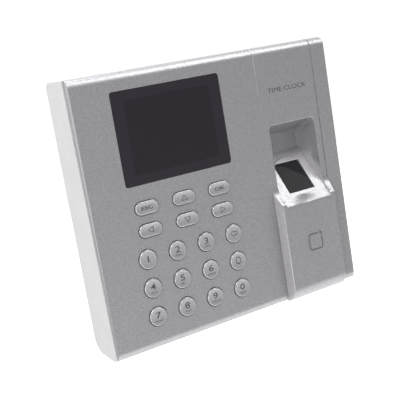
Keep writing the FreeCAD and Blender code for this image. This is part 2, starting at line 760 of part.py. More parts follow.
# ---------------------------------------------------------------- display
def make_display():
    """The glossy lens and its tape, the panel, the frame round it and the folded flex."""
    part = Piece("display_lens", x="window_x", y="window_y")
    size = ["window_width - 2 * lens_gap", "window_height - 2 * lens_gap"]
    part.pad(part.rectangle("0", "0", *size, level="-lens_sink"), "lens_thick")
    places = corners("0", "0", *size)
    part.round_edges("window_round - lens_gap", corners_at(places, "-face_wall", "0"))
    nodes["display_lens"] = part.body

    part = Piece("lens_tape", x="window_x", y="window_y")
    part.pad(part.rectangle("0", "0", *size, level="-lens_sink - lens_thick"), "tape_thick")
    part.round_edges("window_round - lens_gap", corners_at(places, "-face_wall", "0"))
    inside = [f"{edge} - 2 * tape_width" for edge in size]
    part.carve("0", "0", "-2 * face_wall", *inside, "2 * face_wall")
    nodes["lens_tape"] = part.body

    front = "-face_wall - 0.05"
    nodes["lcd_panel"] = box("lcd_panel", "window_x", "window_y", f"{front} - panel_thick", *PANEL,
                             "panel_thick")
    inside = [f"{size} + 2 * frame_gap" for size in PANEL]
    outer = box("frame_outer", "window_x", "window_y", "-face_wall - frame_thick",
                f"{inside[0]} + 2 * frame_wall", f"{inside[1]} + 2 * frame_wall", "frame_thick")
    inner = box("frame_inner", "window_x", "window_y", "-face_wall - frame_thick - 1", *inside,
                "frame_thick + 2")
    nodes["lcd_frame"] = cut("lcd_frame", outer, inner)

    flex = Piece("lcd_flex", x="window_x", y="window_y")
    shelf, board, thick = f"({front} - panel_thick)", "-board_depth", "flex_thick"
    bend = [
        ("-flex_reach", shelf),
        ("0", shelf),
        ("0", f"{board} + {thick}"),
        ("flex_reach", f"{board} + {thick}"),
        ("flex_reach", board),
        (f"-{thick}", board),
        (f"-{thick}", f"{shelf} - {thick}"),
        ("-flex_reach", f"{shelf} - {thick}"),
    ]
    flex.pad(flex.polygon(bend, "YZ_Plane"), "flex_width", symmetric=True)
    nodes["lcd_flex"] = flex.body


# ---------------------------------------------------------------- keypad internals
def make_keypad_mat():
    """The rubber mat behind the keys: a web with holes for the stems, and a rim that stands on the board."""
    part = Piece("keypad_mat", x="keypad_x")
    low = f"(round_rows_y - round_pitch_y - {KEY_REACH})"
    high = "(pill_rows_y + pill_pitch_y / 2 + pill_radius + key_gap + flange_lip + mat_border)"
    across = f"(3 * round_pitch_x + 2 * {KEY_REACH})"
    middle, tall = f"({low} + {high}) / 2", f"({high} - {low})"
    web = "-face_wall - flange_gap - flange_thick - key_travel - mat_gap"
    part.pad(part.rectangle("0", middle, across, tall, web), f"board_depth + {web}")
    hollow = [f"{size} - 2 * mat_rim" for size in (across, tall)]
    part.carve("0", middle, f"{web} - mat_thick - board_depth", *hollow, "board_depth")
    spots = [(f"{x} - keypad_x", y) for name, x, y in list(round_places()) + list(pill_places())]
    part.pocket(part.circles(spots, "stem_radius + stem_gap", "0"), "board_depth")
    return part.body


def make_domes():
    """One snap dome on the board behind each key."""
    keys = list(round_places()) + list(pill_places())
    domes = [cylinder("dome_" + name, x, y, "-board_depth", "dome_radius", "dome_height")
             for name, x, y in keys]
    return group("snap_domes", domes)


# ---------------------------------------------------------------- main board
def make_board():
    """The main circuit board, its chips, its screws, and the clock battery in its holder."""
    part = Piece("main_board")
    middle = [f"({BOARD_LEFT} + board_right) / 2", "board_bottom + board_height / 2"]
    across = f"board_right - {BOARD_LEFT}"
    part.pad(part.rectangle(*middle, across, "board_height", "-board_depth"), "board_thick")
    part.pocket(part.circles(board_screw_places(), "board_hole_radius", "0"), "2 * board_depth")
    nodes["main_board"] = part.body

    back = BOARD_BACK
    chips = [
        ("processor", "-20", "46", "16", "16", "1.4"),
        ("memory", "4", "46", "11", "13", "1.1"),
        ("reader_chip", "14", "4", "12", "12", "1.3"),
        ("supply_coil", "-20", "-14", "8", "8", "4"),
        ("driver", "-60", "-30", "10", "6", "1.5"),
    ]
    made = [box(name, x, y, f"{back} - {out}", across, up, out) for name, x, y, across, up, out in chips]
    nodes["board_chips"] = group("board_chips", made)
    screws = [screw(f"board_screw_{i}", x, y, back, "small_screw_radius",
                    "small_screw_length + board_thick - 0.5", "small_head_radius", "small_head_height")
              for i, (x, y) in enumerate(board_screw_places(), 1)]
    nodes["board_screws"] = group("board_screws", screws)

    tall = "(holder_floor + cell_thick)"
    ring = cylinder("holder_blank", "holder_x", "holder_y", f"{back} - {tall}",
                    "cell_radius + cell_gap + holder_wall", tall)
    seat = cylinder("holder_seat", "holder_x", "holder_y", f"{back} - {tall} - 1", "cell_radius + cell_gap",
                    "cell_thick + 1")
    nodes["battery_holder"] = cut("battery_holder", ring, seat)
    nodes["coin_cell"] = cylinder("coin_cell", "holder_x", "holder_y", f"{back} - {tall}", "cell_radius",
                                  "cell_thick")


def upright_bar(name, radius, start, length):
    """A round bar along the power socket's bore."""
    bar = doc.addObject("Part::Cylinder", name)
    bind(bar, Radius=radius, Height=length, Placement__Base__x="power_x", Placement__Base__z=start)
    bind(bar, Placement__Base__y=f"-{DEEP} - ({BOARD_BACK} - power_height / 2)")
    return bar


def make_sockets():
    """Network, power and data sockets on the board's back, with their mouths in the bay's roof."""
    back = BOARD_BACK
    for name in SOCKETS:
        blank = box(f"{name}_blank", f"{name}_x", f"bay_top + {name}_length / 2", f"{back} - {name}_height",
                    f"{name}_width", f"{name}_length", f"{name}_height")
        if name == "power":
            bore = upright_bar("power_bore", "power_bore_radius", "bay_top - 1", "power_bore_depth + 1")
            pin = upright_bar("power_pin", "power_pin_radius", "bay_top + 0.5", "power_bore_depth")
            mouth = cut("power_mouth", bore, pin)
        else:
            mouth = box(f"{name}_mouth", f"{name}_x", f"bay_top + {name}_mouth_depth / 2 - 1",
                        f"{back} - {name}_height / 2 - {name}_mouth_height / 2", f"{name}_mouth_width",
                        f"{name}_mouth_depth + 2", f"{name}_mouth_height")
        if name == "data":
            tongue = box("data_tongue", "data_x", "bay_top + data_mouth_depth / 2 + 0.5",
                         f"{back} - data_height / 2 - data_tongue_thick / 2", "data_mouth_width - 1.5",
                         "data_mouth_depth", "data_tongue_thick")
            mouth = cut("data_mouth_open", mouth, tongue)
        label = f"{name}_socket"
        nodes[label] = cut(label, blank, mouth)


# ---------------------------------------------------------------- fingerprint reader
def on_platform(label):
    """A piece drawn on the tilted platform, with its origin at the middle of the reader's window."""
    return Piece(label, "column_x", f"{PLATFORM_FOOT} + window_centre * cos(platform_tilt)",
                 "-window_centre * sin(platform_tilt)", "platform_tilt")


def make_reader():
    """The optical reader behind the platform: glass, gasket, housing, board and screws."""
    glass = ["sensor_width - 2 * sensor_gap", "sensor_length - 2 * sensor_gap"]
    part = on_platform("sensor_glass")
    part.pad(part.rectangle("0", "0", *glass, level="-glass_sink"), "glass_thick")
    nodes["sensor_glass"] = part.body

    part = on_platform("sensor_gasket")
    outer = [f"{size} + 2 * gasket_border" for size in ("sensor_width", "sensor_length")]
    part.pad(part.rectangle("0", "0", *outer, level="-pod_wall"), "gasket_thick")
    part.carve("0", "0", "-4 * pod_wall", "sensor_width", "sensor_length", "4 * pod_wall")
    nodes["sensor_gasket"] = part.body

    front = "(pod_wall + gasket_thick)"
    across, up = "(sensor_width + 2 * housing_border)", "(sensor_length + 2 * housing_end)"
    screws = [(f"{side} * ({across} / 2 - sensor_screw_inset)", "0") for side in (-1, 1)]
    part = on_platform("sensor_housing")
    part.pad(part.rectangle("0", "0", across, up, level=f"-{front}"), "ear_thick")
    body = ["sensor_width + 2 * optic_wall - 1.6", up]
    part.pad(part.rectangle("0", "0", *body, level=f"-{front} - ear_thick"), "housing_deep - ear_thick")
    seat = "(glass_sink + glass_thick)"
    part.carve("0", "0", f"-{seat}", "sensor_width", "sensor_length", seat)
    part.carve("0", "0", f"-{front} - housing_deep + optic_wall / 2", "sensor_width - optic_wall",
               "sensor_length - optic_wall", "housing_deep")
    part.pocket(part.circles(screws, "small_pilot_radius", "0"), "2 * housing_deep")
    nodes["sensor_housing"] = part.body

    board = f"-{front} - housing_deep"
    part = on_platform("sensor_board")
    part.pad(part.rectangle("0", "0", body[0], f"{up} - 2", level=board), "sensor_board_thick")
    nodes["sensor_board"] = part.body


def make_sensor_cable():
    """A ribbon that leaves the reader's board, twists upright and lies down on the main board's back."""
    tilt = FreeCAD.Rotation(FreeCAD.Vector(1, 0, 0), value("-platform_tilt"))
    lean = value("pod_wall + gasket_thick + housing_deep + sensor_board_thick")
    upright = FreeCAD.Rotation()
    foot = FreeCAD.Vector(0, value(PLATFORM_FOOT), 0)
    seat = foot + tilt.multVec(FreeCAD.Vector(0, value("window_centre"), -lean))
    level = FreeCAD.Vector(0, seat.y, value(BOARD_BACK))
    board_edge = value("board_right")
    reader_edge = value("column_x - sensor_width / 2 - optic_wall + 0.8")
    half, thick = value("cable_width") / 2, value("cable_thick")
    stations = [
        (reader_edge + half, seat, tilt),
        (reader_edge, seat, tilt),
        ((reader_edge + board_edge) / 2, (seat + level) / 2, tilt.slerp(upright, 0.5)),
        (board_edge, level, upright),
        (board_edge - half, level, upright),
    ]
    sections = []
    for across, middle, turn in stations:
        centre = FreeCAD.Vector(across, 0, 0) + middle
        outline = [(-half, 0), (half, 0), (half, -thick), (-half, -thick), (-half, 0)]
        points = [centre + turn.multVec(FreeCAD.Vector(0, y, z)) for y, z in outline]
        sections.append(Part.makePolygon(points))
    ribbon = doc.addObject("Part::Feature", "sensor_cable")
    ribbon.Shape = Part.makeLoft(sections, True, True)
    face(ribbon)
    nodes["sensor_cable"] = ribbon


def make_card_reader():
    """The card reader's antenna board inside the block, with its printed coil."""
    front = "block_proud - block_wall"
    outer = ["antenna_width", "antenna_height"]
    blank = box("antenna_blank", "column_x", "antenna_y", f"{front} - antenna_thick", *outer,
                "antenna_thick")
    inner = [f"{size} - 8 * antenna_turn_width" for size in outer]
    opening = box("antenna_opening", "column_x", "antenna_y", f"{front} - 2 * antenna_thick", *inner,
                  "3 * antenna_thick")
    nodes["card_antenna"] = cut("card_antenna", blank, opening)


def make_speaker():
    """A round speaker on the rear wall, in front of the sound holes."""
    base = REAR_INSIDE
    can = cylinder("speaker_can", "column_x", "speaker_y", base, "speaker_radius", "speaker_thick - 1.5")
    magnet = cylinder("speaker_magnet", "column_x", "speaker_y", base, "0.6 * speaker_radius",
                      "speaker_thick")
    mouth = cylinder("speaker_mouth", "column_x", "speaker_y", f"{base} - 1", "speaker_radius - 1.5", "1.5")
    whole = doc.addObject("Part::MultiFuse", "speaker_blank")
    whole.Shapes = [can, magnet]
    nodes["speaker"] = cut("speaker", whole, mouth)


# ---------------------------------------------------------------- fasteners and wall plate
def make_case_screws():
    """Four long screws from the rear, and the two short ones of the sensor cover."""
    reach = "case_head_seat - post_end + case_screw_grip"
    screws = [screw(f"case_screw_{i}", x, y, "-case_head_seat", "case_screw_radius", reach,
                    "case_head_radius", "case_head_height")
              for i, (x, y) in enumerate(case_screw_places(), 1)]
    nodes["case_screws"] = group("case_screws", screws)
    washer = "board_post_radius + column_post_gap + 1"
    screws = [screw(f"column_screw_{i}", x, y, "-column_post_end", "small_screw_radius",
                    "small_screw_length - 0.5", washer, "small_head_height")
              for i, (x, y) in enumerate(column_screw_places(), 1)]
    nodes["column_screws"] = group("column_screws", screws)


def make_wall_plate():
    """The steel plate on the wall: four screw holes and two hooks that the case hangs on."""
    part = Piece("wall_plate")
    back = f"-{DEEP}"
    part.pad(part.rectangle("0", "0", "plate_width", "plate_height", back), "plate_thick", outwards=True)
    places = corners("0", "0", "plate_width", "plate_height")
    part.round_edges("plate_round", corners_at(places, back, "0"))
    spots = corners("0", "0", "plate_spacing_x", "plate_spacing_y")
    part.pocket(part.circles(spots, "plate_hole_radius", "0"), "2 * case_depth")
    tongue = f"{REAR_INSIDE} + hook_gap"
    for side in (-1, 1):
        across = f"{side} * hook_spacing / 2"
        root = f"({back} + plate_thick / 2)"
        part.add(across, "hook_y", root, "hook_width", "hook_neck", f"{tongue} + hook_thick - {root}")
        part.add(across, "hook_y + hook_tongue / 2", tongue, "hook_width", "hook_neck + hook_tongue",
                 "hook_thick")
    return part.body


# ---------------------------------------------------------------- assembly
nodes["front_cover"] = make_front_cover()
nodes["rear_cover"] = make_rear_cover()
nodes["sensor_cover"] = make_sensor_cover()
for name, x, y in round_places():
    nodes["key_" + name] = make_round_key(name, x, y)
for name, x, y in pill_places():
    nodes["key_" + name] = make_pill_key(name, x, y)
make_display()
nodes["keypad_mat"] = make_keypad_mat()
nodes["snap_domes"] = make_domes()
make_board()
make_sockets()
make_reader()
make_sensor_cable()
make_card_reader()
make_speaker()
make_case_screws()
nodes["wall_plate"] = make_wall_plate()
doc.recompute()

# ---------------------------------------------------------------- checks and export
faults = [thing.Label for thing in doc.Objects if {"Invalid", "Error"} & set(thing.State)]
if faults:
    raise RuntimeError(f"these objects failed: {faults}")
for thing in doc.Objects:
    if thing.TypeId in ("PartDesign::Pocket", "PartDesign::SubtractiveBox", "PartDesign::SubtractiveLoft"):
        if thing.Shape.Volume >= thing.BaseFeature.Shape.Volume - 1e-6:
            raise RuntimeError(f"{thing.Label} removes nothing")
for name, thing in nodes.items():
    thing.Label = name
    if thing.Shape.isNull() or not thing.Shape.isValid() or not thing.Shape.Solids:
        raise RuntimeError(f"{name} has no sound shape")
os.makedirs("parts", exist_ok=True)
for name, thing in nodes.items():
    thing.Shape.exportStep(os.path.join("parts", name + ".step"))
    print(f"{name:16s} {len(thing.Shape.Solids):2d} solids {thing.Shape.Volume:10.1f} mm3")
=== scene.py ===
"""The finished look of a wall-mounted attendance time clock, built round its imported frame.

Shapes are drawn in millimetres in the facing frame, where x runs right, y runs up and z comes out of
the face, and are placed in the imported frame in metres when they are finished.
"""

import json
import logging
import math
from collections.abc import Callable, Iterable, Sequence
from dataclasses import dataclass
from enum import Enum

import bmesh
import bpy
from bmesh.types import BMEdge, BMFace, BMVert
from mathutils import Matrix, Vector


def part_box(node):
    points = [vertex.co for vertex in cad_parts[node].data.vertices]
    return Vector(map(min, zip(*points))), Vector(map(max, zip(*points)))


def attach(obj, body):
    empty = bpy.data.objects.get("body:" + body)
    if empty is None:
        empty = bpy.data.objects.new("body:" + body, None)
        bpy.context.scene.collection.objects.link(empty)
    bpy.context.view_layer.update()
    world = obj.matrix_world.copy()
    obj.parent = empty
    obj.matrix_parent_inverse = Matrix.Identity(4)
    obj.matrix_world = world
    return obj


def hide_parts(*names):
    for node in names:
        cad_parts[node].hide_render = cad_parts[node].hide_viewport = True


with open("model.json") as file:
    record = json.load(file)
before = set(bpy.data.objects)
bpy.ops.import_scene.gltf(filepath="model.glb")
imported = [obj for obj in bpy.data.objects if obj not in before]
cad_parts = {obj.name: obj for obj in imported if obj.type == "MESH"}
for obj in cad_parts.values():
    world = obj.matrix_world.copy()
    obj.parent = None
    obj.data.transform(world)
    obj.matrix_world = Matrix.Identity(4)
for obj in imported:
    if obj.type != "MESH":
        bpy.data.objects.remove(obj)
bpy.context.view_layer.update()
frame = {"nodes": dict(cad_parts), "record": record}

LOG = logging.getLogger("time_clock")
MM = 0.001
FACE_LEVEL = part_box("front_cover")[0].y / MM
PLATFORM_TILT = 38.0
LEAN = math.radians(PLATFORM_TILT)
DISPLAY_AREA = (57.6, 43.2)
NEAR = 0.01
CASE = "case"

Point = tuple[float, float]
Colour = tuple[float, float, float]


class Slot(Enum):
    """The record's material slots."""

    SILVER = "silver_paint"
    KEYS = "key_paint"
    SHELL = "shell_grey"
    LENS = "lens_black"
    TAPE = "tape_black"
    PANEL = "panel_black"
    BLACK = "black_plastic"
    FLEX = "flex_amber"
    RUBBER = "mat_rubber"
    STEEL = "bright_steel"
    TIN = "socket_shell"
    BOARD = "board_green"
    GLASS = "reader_glass"
    PLATE = "plate_paint"


def facing(x: float = 0.0, y: float = 0.0, z: float = 0.0, tilt: float = 0.0) -> Matrix:
    """Place a drawing in the facing frame.

    Args:
        x: Millimetres to the right of the face's middle.
        y: Millimetres up from the face's middle.
        z: Millimetres out of the face.
        tilt: Degrees by which the drawing leans back.

    Returns:
        The matrix from the drawing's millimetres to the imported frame's millimetres.
    """
    return Matrix.Translation((x, FACE_LEVEL - z, y)) @ Matrix.Rotation(math.radians(90 - tilt), 4, "X")


def node_centre(node: str) -> Point:
    """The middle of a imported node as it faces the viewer, in millimetres right and up."""
    low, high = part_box(node)
    return (low.x + high.x) / 2 / MM, (low.z + high.z) / 2 / MM


def node_size(node: str) -> Point:
    """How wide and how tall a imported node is, in millimetres."""
    low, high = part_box(node)
    return (high.x - low.x) / MM, (high.z - low.z) / MM


def node_depths(node: str) -> Point:
    """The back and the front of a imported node, in millimetres out of the face."""
    low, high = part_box(node)
    return FACE_LEVEL - high.y / MM, FACE_LEVEL - low.y / MM


def arc(centre: Point, radius: float, start: float, end: float, steps: int) -> list[Point]:
    """Points along an arc.

    Args:
        centre: The arc's middle.
        radius: The arc's radius.
        start: First angle in degrees, from the x axis.
        end: Last angle in degrees.
        steps: How many chords the arc has.

    Returns:
        The points in order, both ends included.
    """
    angles = [math.radians(start + (end - start) * i / steps) for i in range(steps + 1)]
    return [(centre[0] + radius * math.cos(a), centre[1] + radius * math.sin(a)) for a in angles]


# ------------------------------------------------------------------------------ shaders
class Field:
    """A number that varies over a surface; arithmetic on it adds Math nodes."""

    def __init__(self, shader: "Shader", socket: bpy.types.NodeSocket) -> None:
        """Wrap one output socket of a shader."""
        self.shader = shader
        self.socket = socket

    def maths(self, operation: str, *values: "Field | float") -> "Field":
        """Add one Math node on these values."""
        return self.shader.value("ShaderNodeMath", {"operation": operation}, dict(enumerate(values)))

    def __add__(self, other: "Field | float") -> "Field":
        """Sum."""
        return self.maths("ADD", self, other)

    def __sub__(self, other: "Field | float") -> "Field":
        """Difference."""
        return self.maths("SUBTRACT", self, other)

    def __rsub__(self, other: float) -> "Field":
        """Difference from a number."""
        return self.maths("SUBTRACT", other, self)

    def __mul__(self, other: "Field | float") -> "Field":
        """Product."""
        return self.maths("MULTIPLY", self, other)

    def __abs__(self) -> "Field":
        """Size without its sign."""
        return self.maths("ABSOLUTE", self)

    __radd__ = __add__
    __rmul__ = __mul__

    def above(self, edge: "Field | float") -> "Field":
        """One where this is greater than the edge, and nought elsewhere."""
        return self.maths("GREATER_THAN", self, edge)

    def ramp(self, low: float, high: float, start: float = 0.0, end: float = 1.0) -> "Field":
        """Follow this smoothly from start to end as it goes from low to high."""
        settings = {"interpolation_type": "SMOOTHSTEP"}
        sockets = {0: self, 1: low, 2: high, 3: start, 4: end}
        return self.shader.value("ShaderNodeMapRange", settings, sockets)


class Shader:
    """A material's node tree round one Principled shader."""

    def __init__(self, name: str, colour: Colour, roughness: float, **constants: float) -> None:
        """Start a material.

        Args:
            name: The material's name.
            colour: Base colour, linear.
            roughness: How rough it is.
            **constants: Other sockets, such as Coat_Weight, that stay the same all over.
        """
        self.material = bpy.data.materials.new(name)
        self.material.use_nodes = True
        self.tree = self.material.node_tree
        self.surface = self.tree.nodes["Principled BSDF"]
        self.place = self.node("ShaderNodeTexCoord", {}, {}).outputs["Object"]
        self.feed("Base Color", (*colour, 1.0))
        self.feed("Roughness", roughness)
        for socket, number in constants.items():
            self.feed(socket.replace("_", " "), number)

    def node(self, kind: str, settings: dict, sockets: dict) -> bpy.types.Node:
        """Add any node.

        Args:
            kind: The node's type.
            settings: Its own settings, set first.
            sockets: Values or links of its input sockets, by name or number.

        Returns:
            The new node.
        """
        made = self.tree.nodes.new(kind)
        for name, setting in settings.items():
            setattr(made, name, setting)
        for name, value in sockets.items():
            self.join(made.inputs[name], value)
        return made

    def value(self, kind: str, settings: dict, sockets: dict) -> Field:
        """Add a node and wrap its first output."""
        return Field(self, self.node(kind, settings, sockets).outputs[0])

    def join(self, socket: bpy.types.NodeSocket, value: object) -> None:
        """Link a socket to a field or an output, or set its value."""
        source = value.socket if isinstance(value, Field) else value
        if isinstance(source, bpy.types.NodeSocket):
            self.tree.links.new(source, socket)
        else:
            socket.default_value = source

    def feed(self, socket: str, value: object) -> None:
        """Give one of the Principled shader's sockets its value or link."""
        self.join(self.surface.inputs[socket], value)

    def stretched(self, scale: Sequence[float]) -> bpy.types.NodeSocket:
        """The object's own coordinates, stretched per axis."""
        mapping = self.node("ShaderNodeMapping", {}, {"Vector": self.place, "Scale": tuple(scale)})
        return mapping.outputs["Vector"]

    def grain(self, size: float, detail: float = 2.0, stretch: Sequence[float] | None = None) -> Field:
        """Soft noise.

        Args:
            size: Size of a blotch in millimetres.
            detail: Octaves of finer noise.
            stretch: Scale per axis, for brushed or drawn marks.

        Returns:
            The noise, from 0 to 1 and near 0.5.
        """
        place = self.place if stretch is None else self.stretched(stretch)
        sockets = {"Vector": place, "Scale": 1 / (size * MM), "Detail": detail}
        return self.value("ShaderNodeTexNoise", {}, sockets)

    def flakes(self, size: float) -> Field:
        """Small cells, each with its own random value from 0 to 1."""
        sockets = {"Vector": self.place, "Scale": 1 / (size * MM)}
        cells = self.node("ShaderNodeTexVoronoi", {"feature": "F1"}, sockets)
        parts = self.node("ShaderNodeSeparateColor", {}, {0: cells.outputs["Color"]})
        return Field(self, parts.outputs[0])

    def along(self, axis: str) -> Field:
        """One of the object's own coordinates, in millimetres."""
        parts = self.node("ShaderNodeSeparateXYZ", {}, {0: self.place})
        return Field(self, parts.outputs[axis]) * (1 / MM)

    def blend(self, factor: Field, first: Colour, second: Colour) -> bpy.types.NodeSocket:
        """Mix two colours by a factor."""
        settings = {"data_type": "RGBA", "clamp_factor": True}
        sockets = {0: factor, 6: (*first, 1.0), 7: (*second, 1.0)}
        return self.node("ShaderNodeMix", settings, sockets).outputs[2]

    def relief(self, height: Field, depth: float, strength: float = 1.0) -> None:
        """Bump the surface by a height field.

        Args:
            height: The height, from 0 to 1.
            depth: How deep the relief is, in millimetres.
            strength: How much of it shows.
        """
        sockets = {"Height": height, "Distance": depth * MM, "Strength": strength}
        self.feed("Normal", self.node("ShaderNodeBump", {}, sockets).outputs["Normal"])


def shade(colour: Colour, factor: float) -> Colour:
    """A lighter or darker version of a colour."""
    return tuple(min(1.0, channel * factor) for channel in colour)


@dataclass(frozen=True)
class SilverPaint:
    """Satin paint with metal flakes over moulded plastic."""

    name: str
    colour: Colour
    roughness: float = 0.36
    metallic: float = 0.7
    flake_mm: float = 0.32
    mottle_mm: float = 1.1
    contrast: float = 0.15
    relief_mm: float = 0.012

    def make(self) -> bpy.types.Material:
        """Build the material.

        Returns:
            A paint whose flakes vary in lightness, shine and tilt.
        """
        shader = Shader(self.name, self.colour, self.roughness, Metallic=self.metallic)
        flakes = shader.flakes(self.flake_mm)
        mottle = shader.grain(self.mottle_mm, 3.0)
        sparkle = flakes * 0.55 + mottle * 0.45
        dark, light = shade(self.colour, 1 - self.contrast), shade(self.colour, 1 + self.contrast)
        shader.feed("Base Color", shader.blend(sparkle.ramp(0.25, 0.75), dark, light))
        shader.feed("Roughness", flakes.ramp(0.0, 1.0, self.roughness + 0.08, self.roughness - 0.06))
        shader.relief(flakes * 0.6 + mottle * 0.4, self.relief_mm, 0.35)
        return shader.material


@dataclass(frozen=True)
class Moulding:
    """Plain moulded plastic or rubber with a fine eroded texture."""

    name: str
    colour: Colour
    roughness: float = 0.5
    texture_mm: float = 0.35
    depth_mm: float = 0.01
    specular: float = 0.5
    tone_mm: float = 18.0

    def make(self) -> bpy.types.Material:
        """Build the material.

        Returns:
            A plastic with slow changes of tone and a fine eroded surface.
        """
        shader = Shader(self.name, self.colour, self.roughness, Specular_IOR_Level=self.specular)
        texture = shader.grain(self.texture_mm, 3.0)
        tone = shader.grain(self.tone_mm, 2.0)
        colours = shade(self.colour, 0.98), shade(self.colour, 1.02)
        shader.feed("Base Color", shader.blend(tone.ramp(0.3, 0.7), *colours))
        shader.feed("Roughness", texture.ramp(0.3, 0.7, self.roughness - 0.05, self.roughness + 0.06))
        shader.relief(texture, self.depth_mm, 0.5)
        return shader.material


@dataclass(frozen=True)
class PlatedMetal:
    """Bare or plated metal with fine drawn marks or crystal spangle."""

    name: str
    colour: Colour
    roughness: float = 0.3
    spangle_mm: float = 0.0
    drawn_mm: float = 0.5
    relief_mm: float = 0.006

    def make(self) -> bpy.types.Material:
        """Build the material.

        Returns:
            A metal with drawn marks, or with spangle where it has a size.
        """
        shader = Shader(self.name, self.colour, self.roughness, Metallic=1.0)
        marks = shader.grain(self.drawn_mm, 2.0, (0.06, 1.0, 1.0))
        if self.spangle_mm:
            marks = shader.flakes(self.spangle_mm) * 0.8 + marks * 0.2
        colours = shade(self.colour, 0.93), shade(self.colour, 1.05)
        shader.feed("Base Color", shader.blend(marks.ramp(0.2, 0.8), *colours))
        shader.feed("Roughness", marks.ramp(0.2, 0.8, self.roughness + 0.05, self.roughness - 0.03))
        shader.relief(marks, self.relief_mm, 0.4)
        return shader.material


@dataclass(frozen=True)
class DisplayLens:
    """A clear sheet printed black behind, with the unlit display showing through it."""

    name: str
    colour: Colour
    active_colour: Colour
    centre: Point
    active: Point
    border_mm: float = 0.3
    roughness: float = 0.16
    specular: float = 0.3

    def make(self) -> bpy.types.Material:
        """Build the material.

        Returns:
            A gloss black with a slightly darker active area and faint wipe marks.
        """
        shader = Shader(self.name, self.colour, self.roughness, Specular_IOR_Level=self.specular)
        across, up = self.active[0] / 2, self.active[1] / 2
        beside = abs(shader.along("X") - self.centre[0]).ramp(across, across + self.border_mm)
        over = abs(shader.along("Z") - self.centre[1]).ramp(up, up + self.border_mm)
        border = beside.maths("MAXIMUM", beside, over)
        shader.feed("Base Color", shader.blend(border, self.active_colour, self.colour))
        wipes = shader.grain(9.0, 4.0, (0.4, 1.0, 1.0))
        shader.feed("Roughness", wipes.ramp(0.35, 0.75, 0.14, 0.22))
        return shader.material


@dataclass(frozen=True)
class ReaderGlass:
    """Dark optical glass over a black well."""

    name: str
    colour: Colour
    roughness: float = 0.06
    specular: float = 0.08

    def make(self) -> bpy.types.Material:
        """Build the material.

        Returns:
            A dark, clean glass with the faintest smear.
        """
        shader = Shader(self.name, self.colour, self.roughness, Specular_IOR_Level=self.specular)
        smear = shader.grain(4.0, 3.0, (1.0, 1.0, 0.4))
        shader.feed("Roughness", smear.ramp(0.4, 0.75, 0.04, 0.14))
        shader.feed("Base Color", shader.blend(smear, shade(self.colour, 0.85), shade(self.colour, 1.2)))
        return shader.material


@dataclass(frozen=True)
class CircuitBoard:
    """Green solder mask over copper tracks."""

    name: str
    colour: Colour
    track_mm: float = 1.6
    region_mm: float = 12.0
    relief_mm: float = 0.03

    def make(self) -> bpy.types.Material:
        """Build the material.

        Returns:
            A board with tracks that show through the mask and tinned pads.
        """
        shader = Shader(self.name, self.colour, 0.35, Coat_Weight=0.3, Coat_Roughness=0.15)
        bands = []
        for axis in ("X", "Z"):
            settings = {"wave_type": "BANDS", "bands_direction": axis}
            sockets = {"Vector": shader.place, "Scale": 1 / (self.track_mm * MM * 20), "Distortion": 3.0}
            bands.append(shader.value("ShaderNodeTexWave", settings, sockets))
        regions = shader.grain(self.region_mm, 1.0).above(0.5)
        tracks = (bands[0] * regions + bands[1] * (1 - regions)).ramp(0.55, 0.7)
        shader.feed("Base Color", shader.blend(tracks, self.colour, shade(self.colour, 1.9)))
        shader.feed("Roughness", tracks.ramp(0.0, 1.0, 0.3, 0.4))
        shader.relief(tracks, self.relief_mm, 0.6)
        return shader.material


@dataclass(frozen=True)
class PrintedInk:
    """Thin matt ink on the keys and the face."""

    name: str
    colour: Colour
    roughness: float = 0.55
    wear_mm: float = 0.3

    def make(self) -> bpy.types.Material:
        """Build the material.

        Returns:
            An ink that is a little uneven, as pad printing is.
        """
        shader = Shader(self.name, self.colour, self.roughness)
        wear = shader.grain(self.wear_mm, 3.0)
        colours = shade(self.colour, 0.85), shade(self.colour, 1.35)
        shader.feed("Base Color", shader.blend(wear.ramp(0.35, 0.8), *colours))
        shader.feed("Roughness", wear.ramp(0.3, 0.7, 0.5, 0.62))
        return shader.material


class Finishes:
    """Every finish on the clock, made once and shared."""

    def __init__(self) -> None:
        """Make the materials."""
        display = node_centre("lcd_panel"), DISPLAY_AREA
        finishes = {
            Slot.SILVER: SilverPaint("silver_face", (0.42, 0.413, 0.428)),
            Slot.KEYS: SilverPaint("silver_keys", (0.5, 0.492, 0.508), roughness=0.32, flake_mm=0.25,
                                   mottle_mm=0.8, contrast=0.06),
            Slot.SHELL: Moulding("shell_plastic", (0.46, 0.456, 0.464), roughness=0.45),
            Slot.LENS: DisplayLens("lens_gloss", (0.024, 0.02, 0.027), (0.019, 0.015, 0.02), *display),
            Slot.TAPE: Moulding("tape_foam", (0.02, 0.02, 0.02), roughness=0.8, texture_mm=0.6,
                                depth_mm=0.05),
            Slot.PANEL: DisplayLens("panel_glass", (0.03, 0.03, 0.032), (0.008, 0.008, 0.012), *display),
            Slot.BLACK: Moulding("black_moulding", (0.02, 0.02, 0.021)),
            Slot.FLEX: Moulding("amber_film", (0.4, 0.18, 0.03), roughness=0.3, texture_mm=1.5),
            Slot.RUBBER: Moulding("dark_rubber", (0.035, 0.035, 0.037), roughness=0.75, texture_mm=0.8,
                                  depth_mm=0.03, specular=0.3),
            Slot.STEEL: PlatedMetal("nickel_plate", (0.6, 0.59, 0.57), roughness=0.28),
            Slot.TIN: PlatedMetal("tinned_shell", (0.55, 0.55, 0.55), roughness=0.35),
            Slot.BOARD: CircuitBoard("green_board", (0.012, 0.12, 0.05)),
            Slot.GLASS: ReaderGlass("reader_glass", (0.012, 0.012, 0.014)),
            Slot.PLATE: PlatedMetal("galvanised_sheet", (0.42, 0.43, 0.44), roughness=0.42, spangle_mm=7.0),
        }
        self.by_slot = {slot: finish.make() for slot, finish in finishes.items()}
        self.ink = PrintedInk("grey_ink", (0.055, 0.052, 0.058)).make()


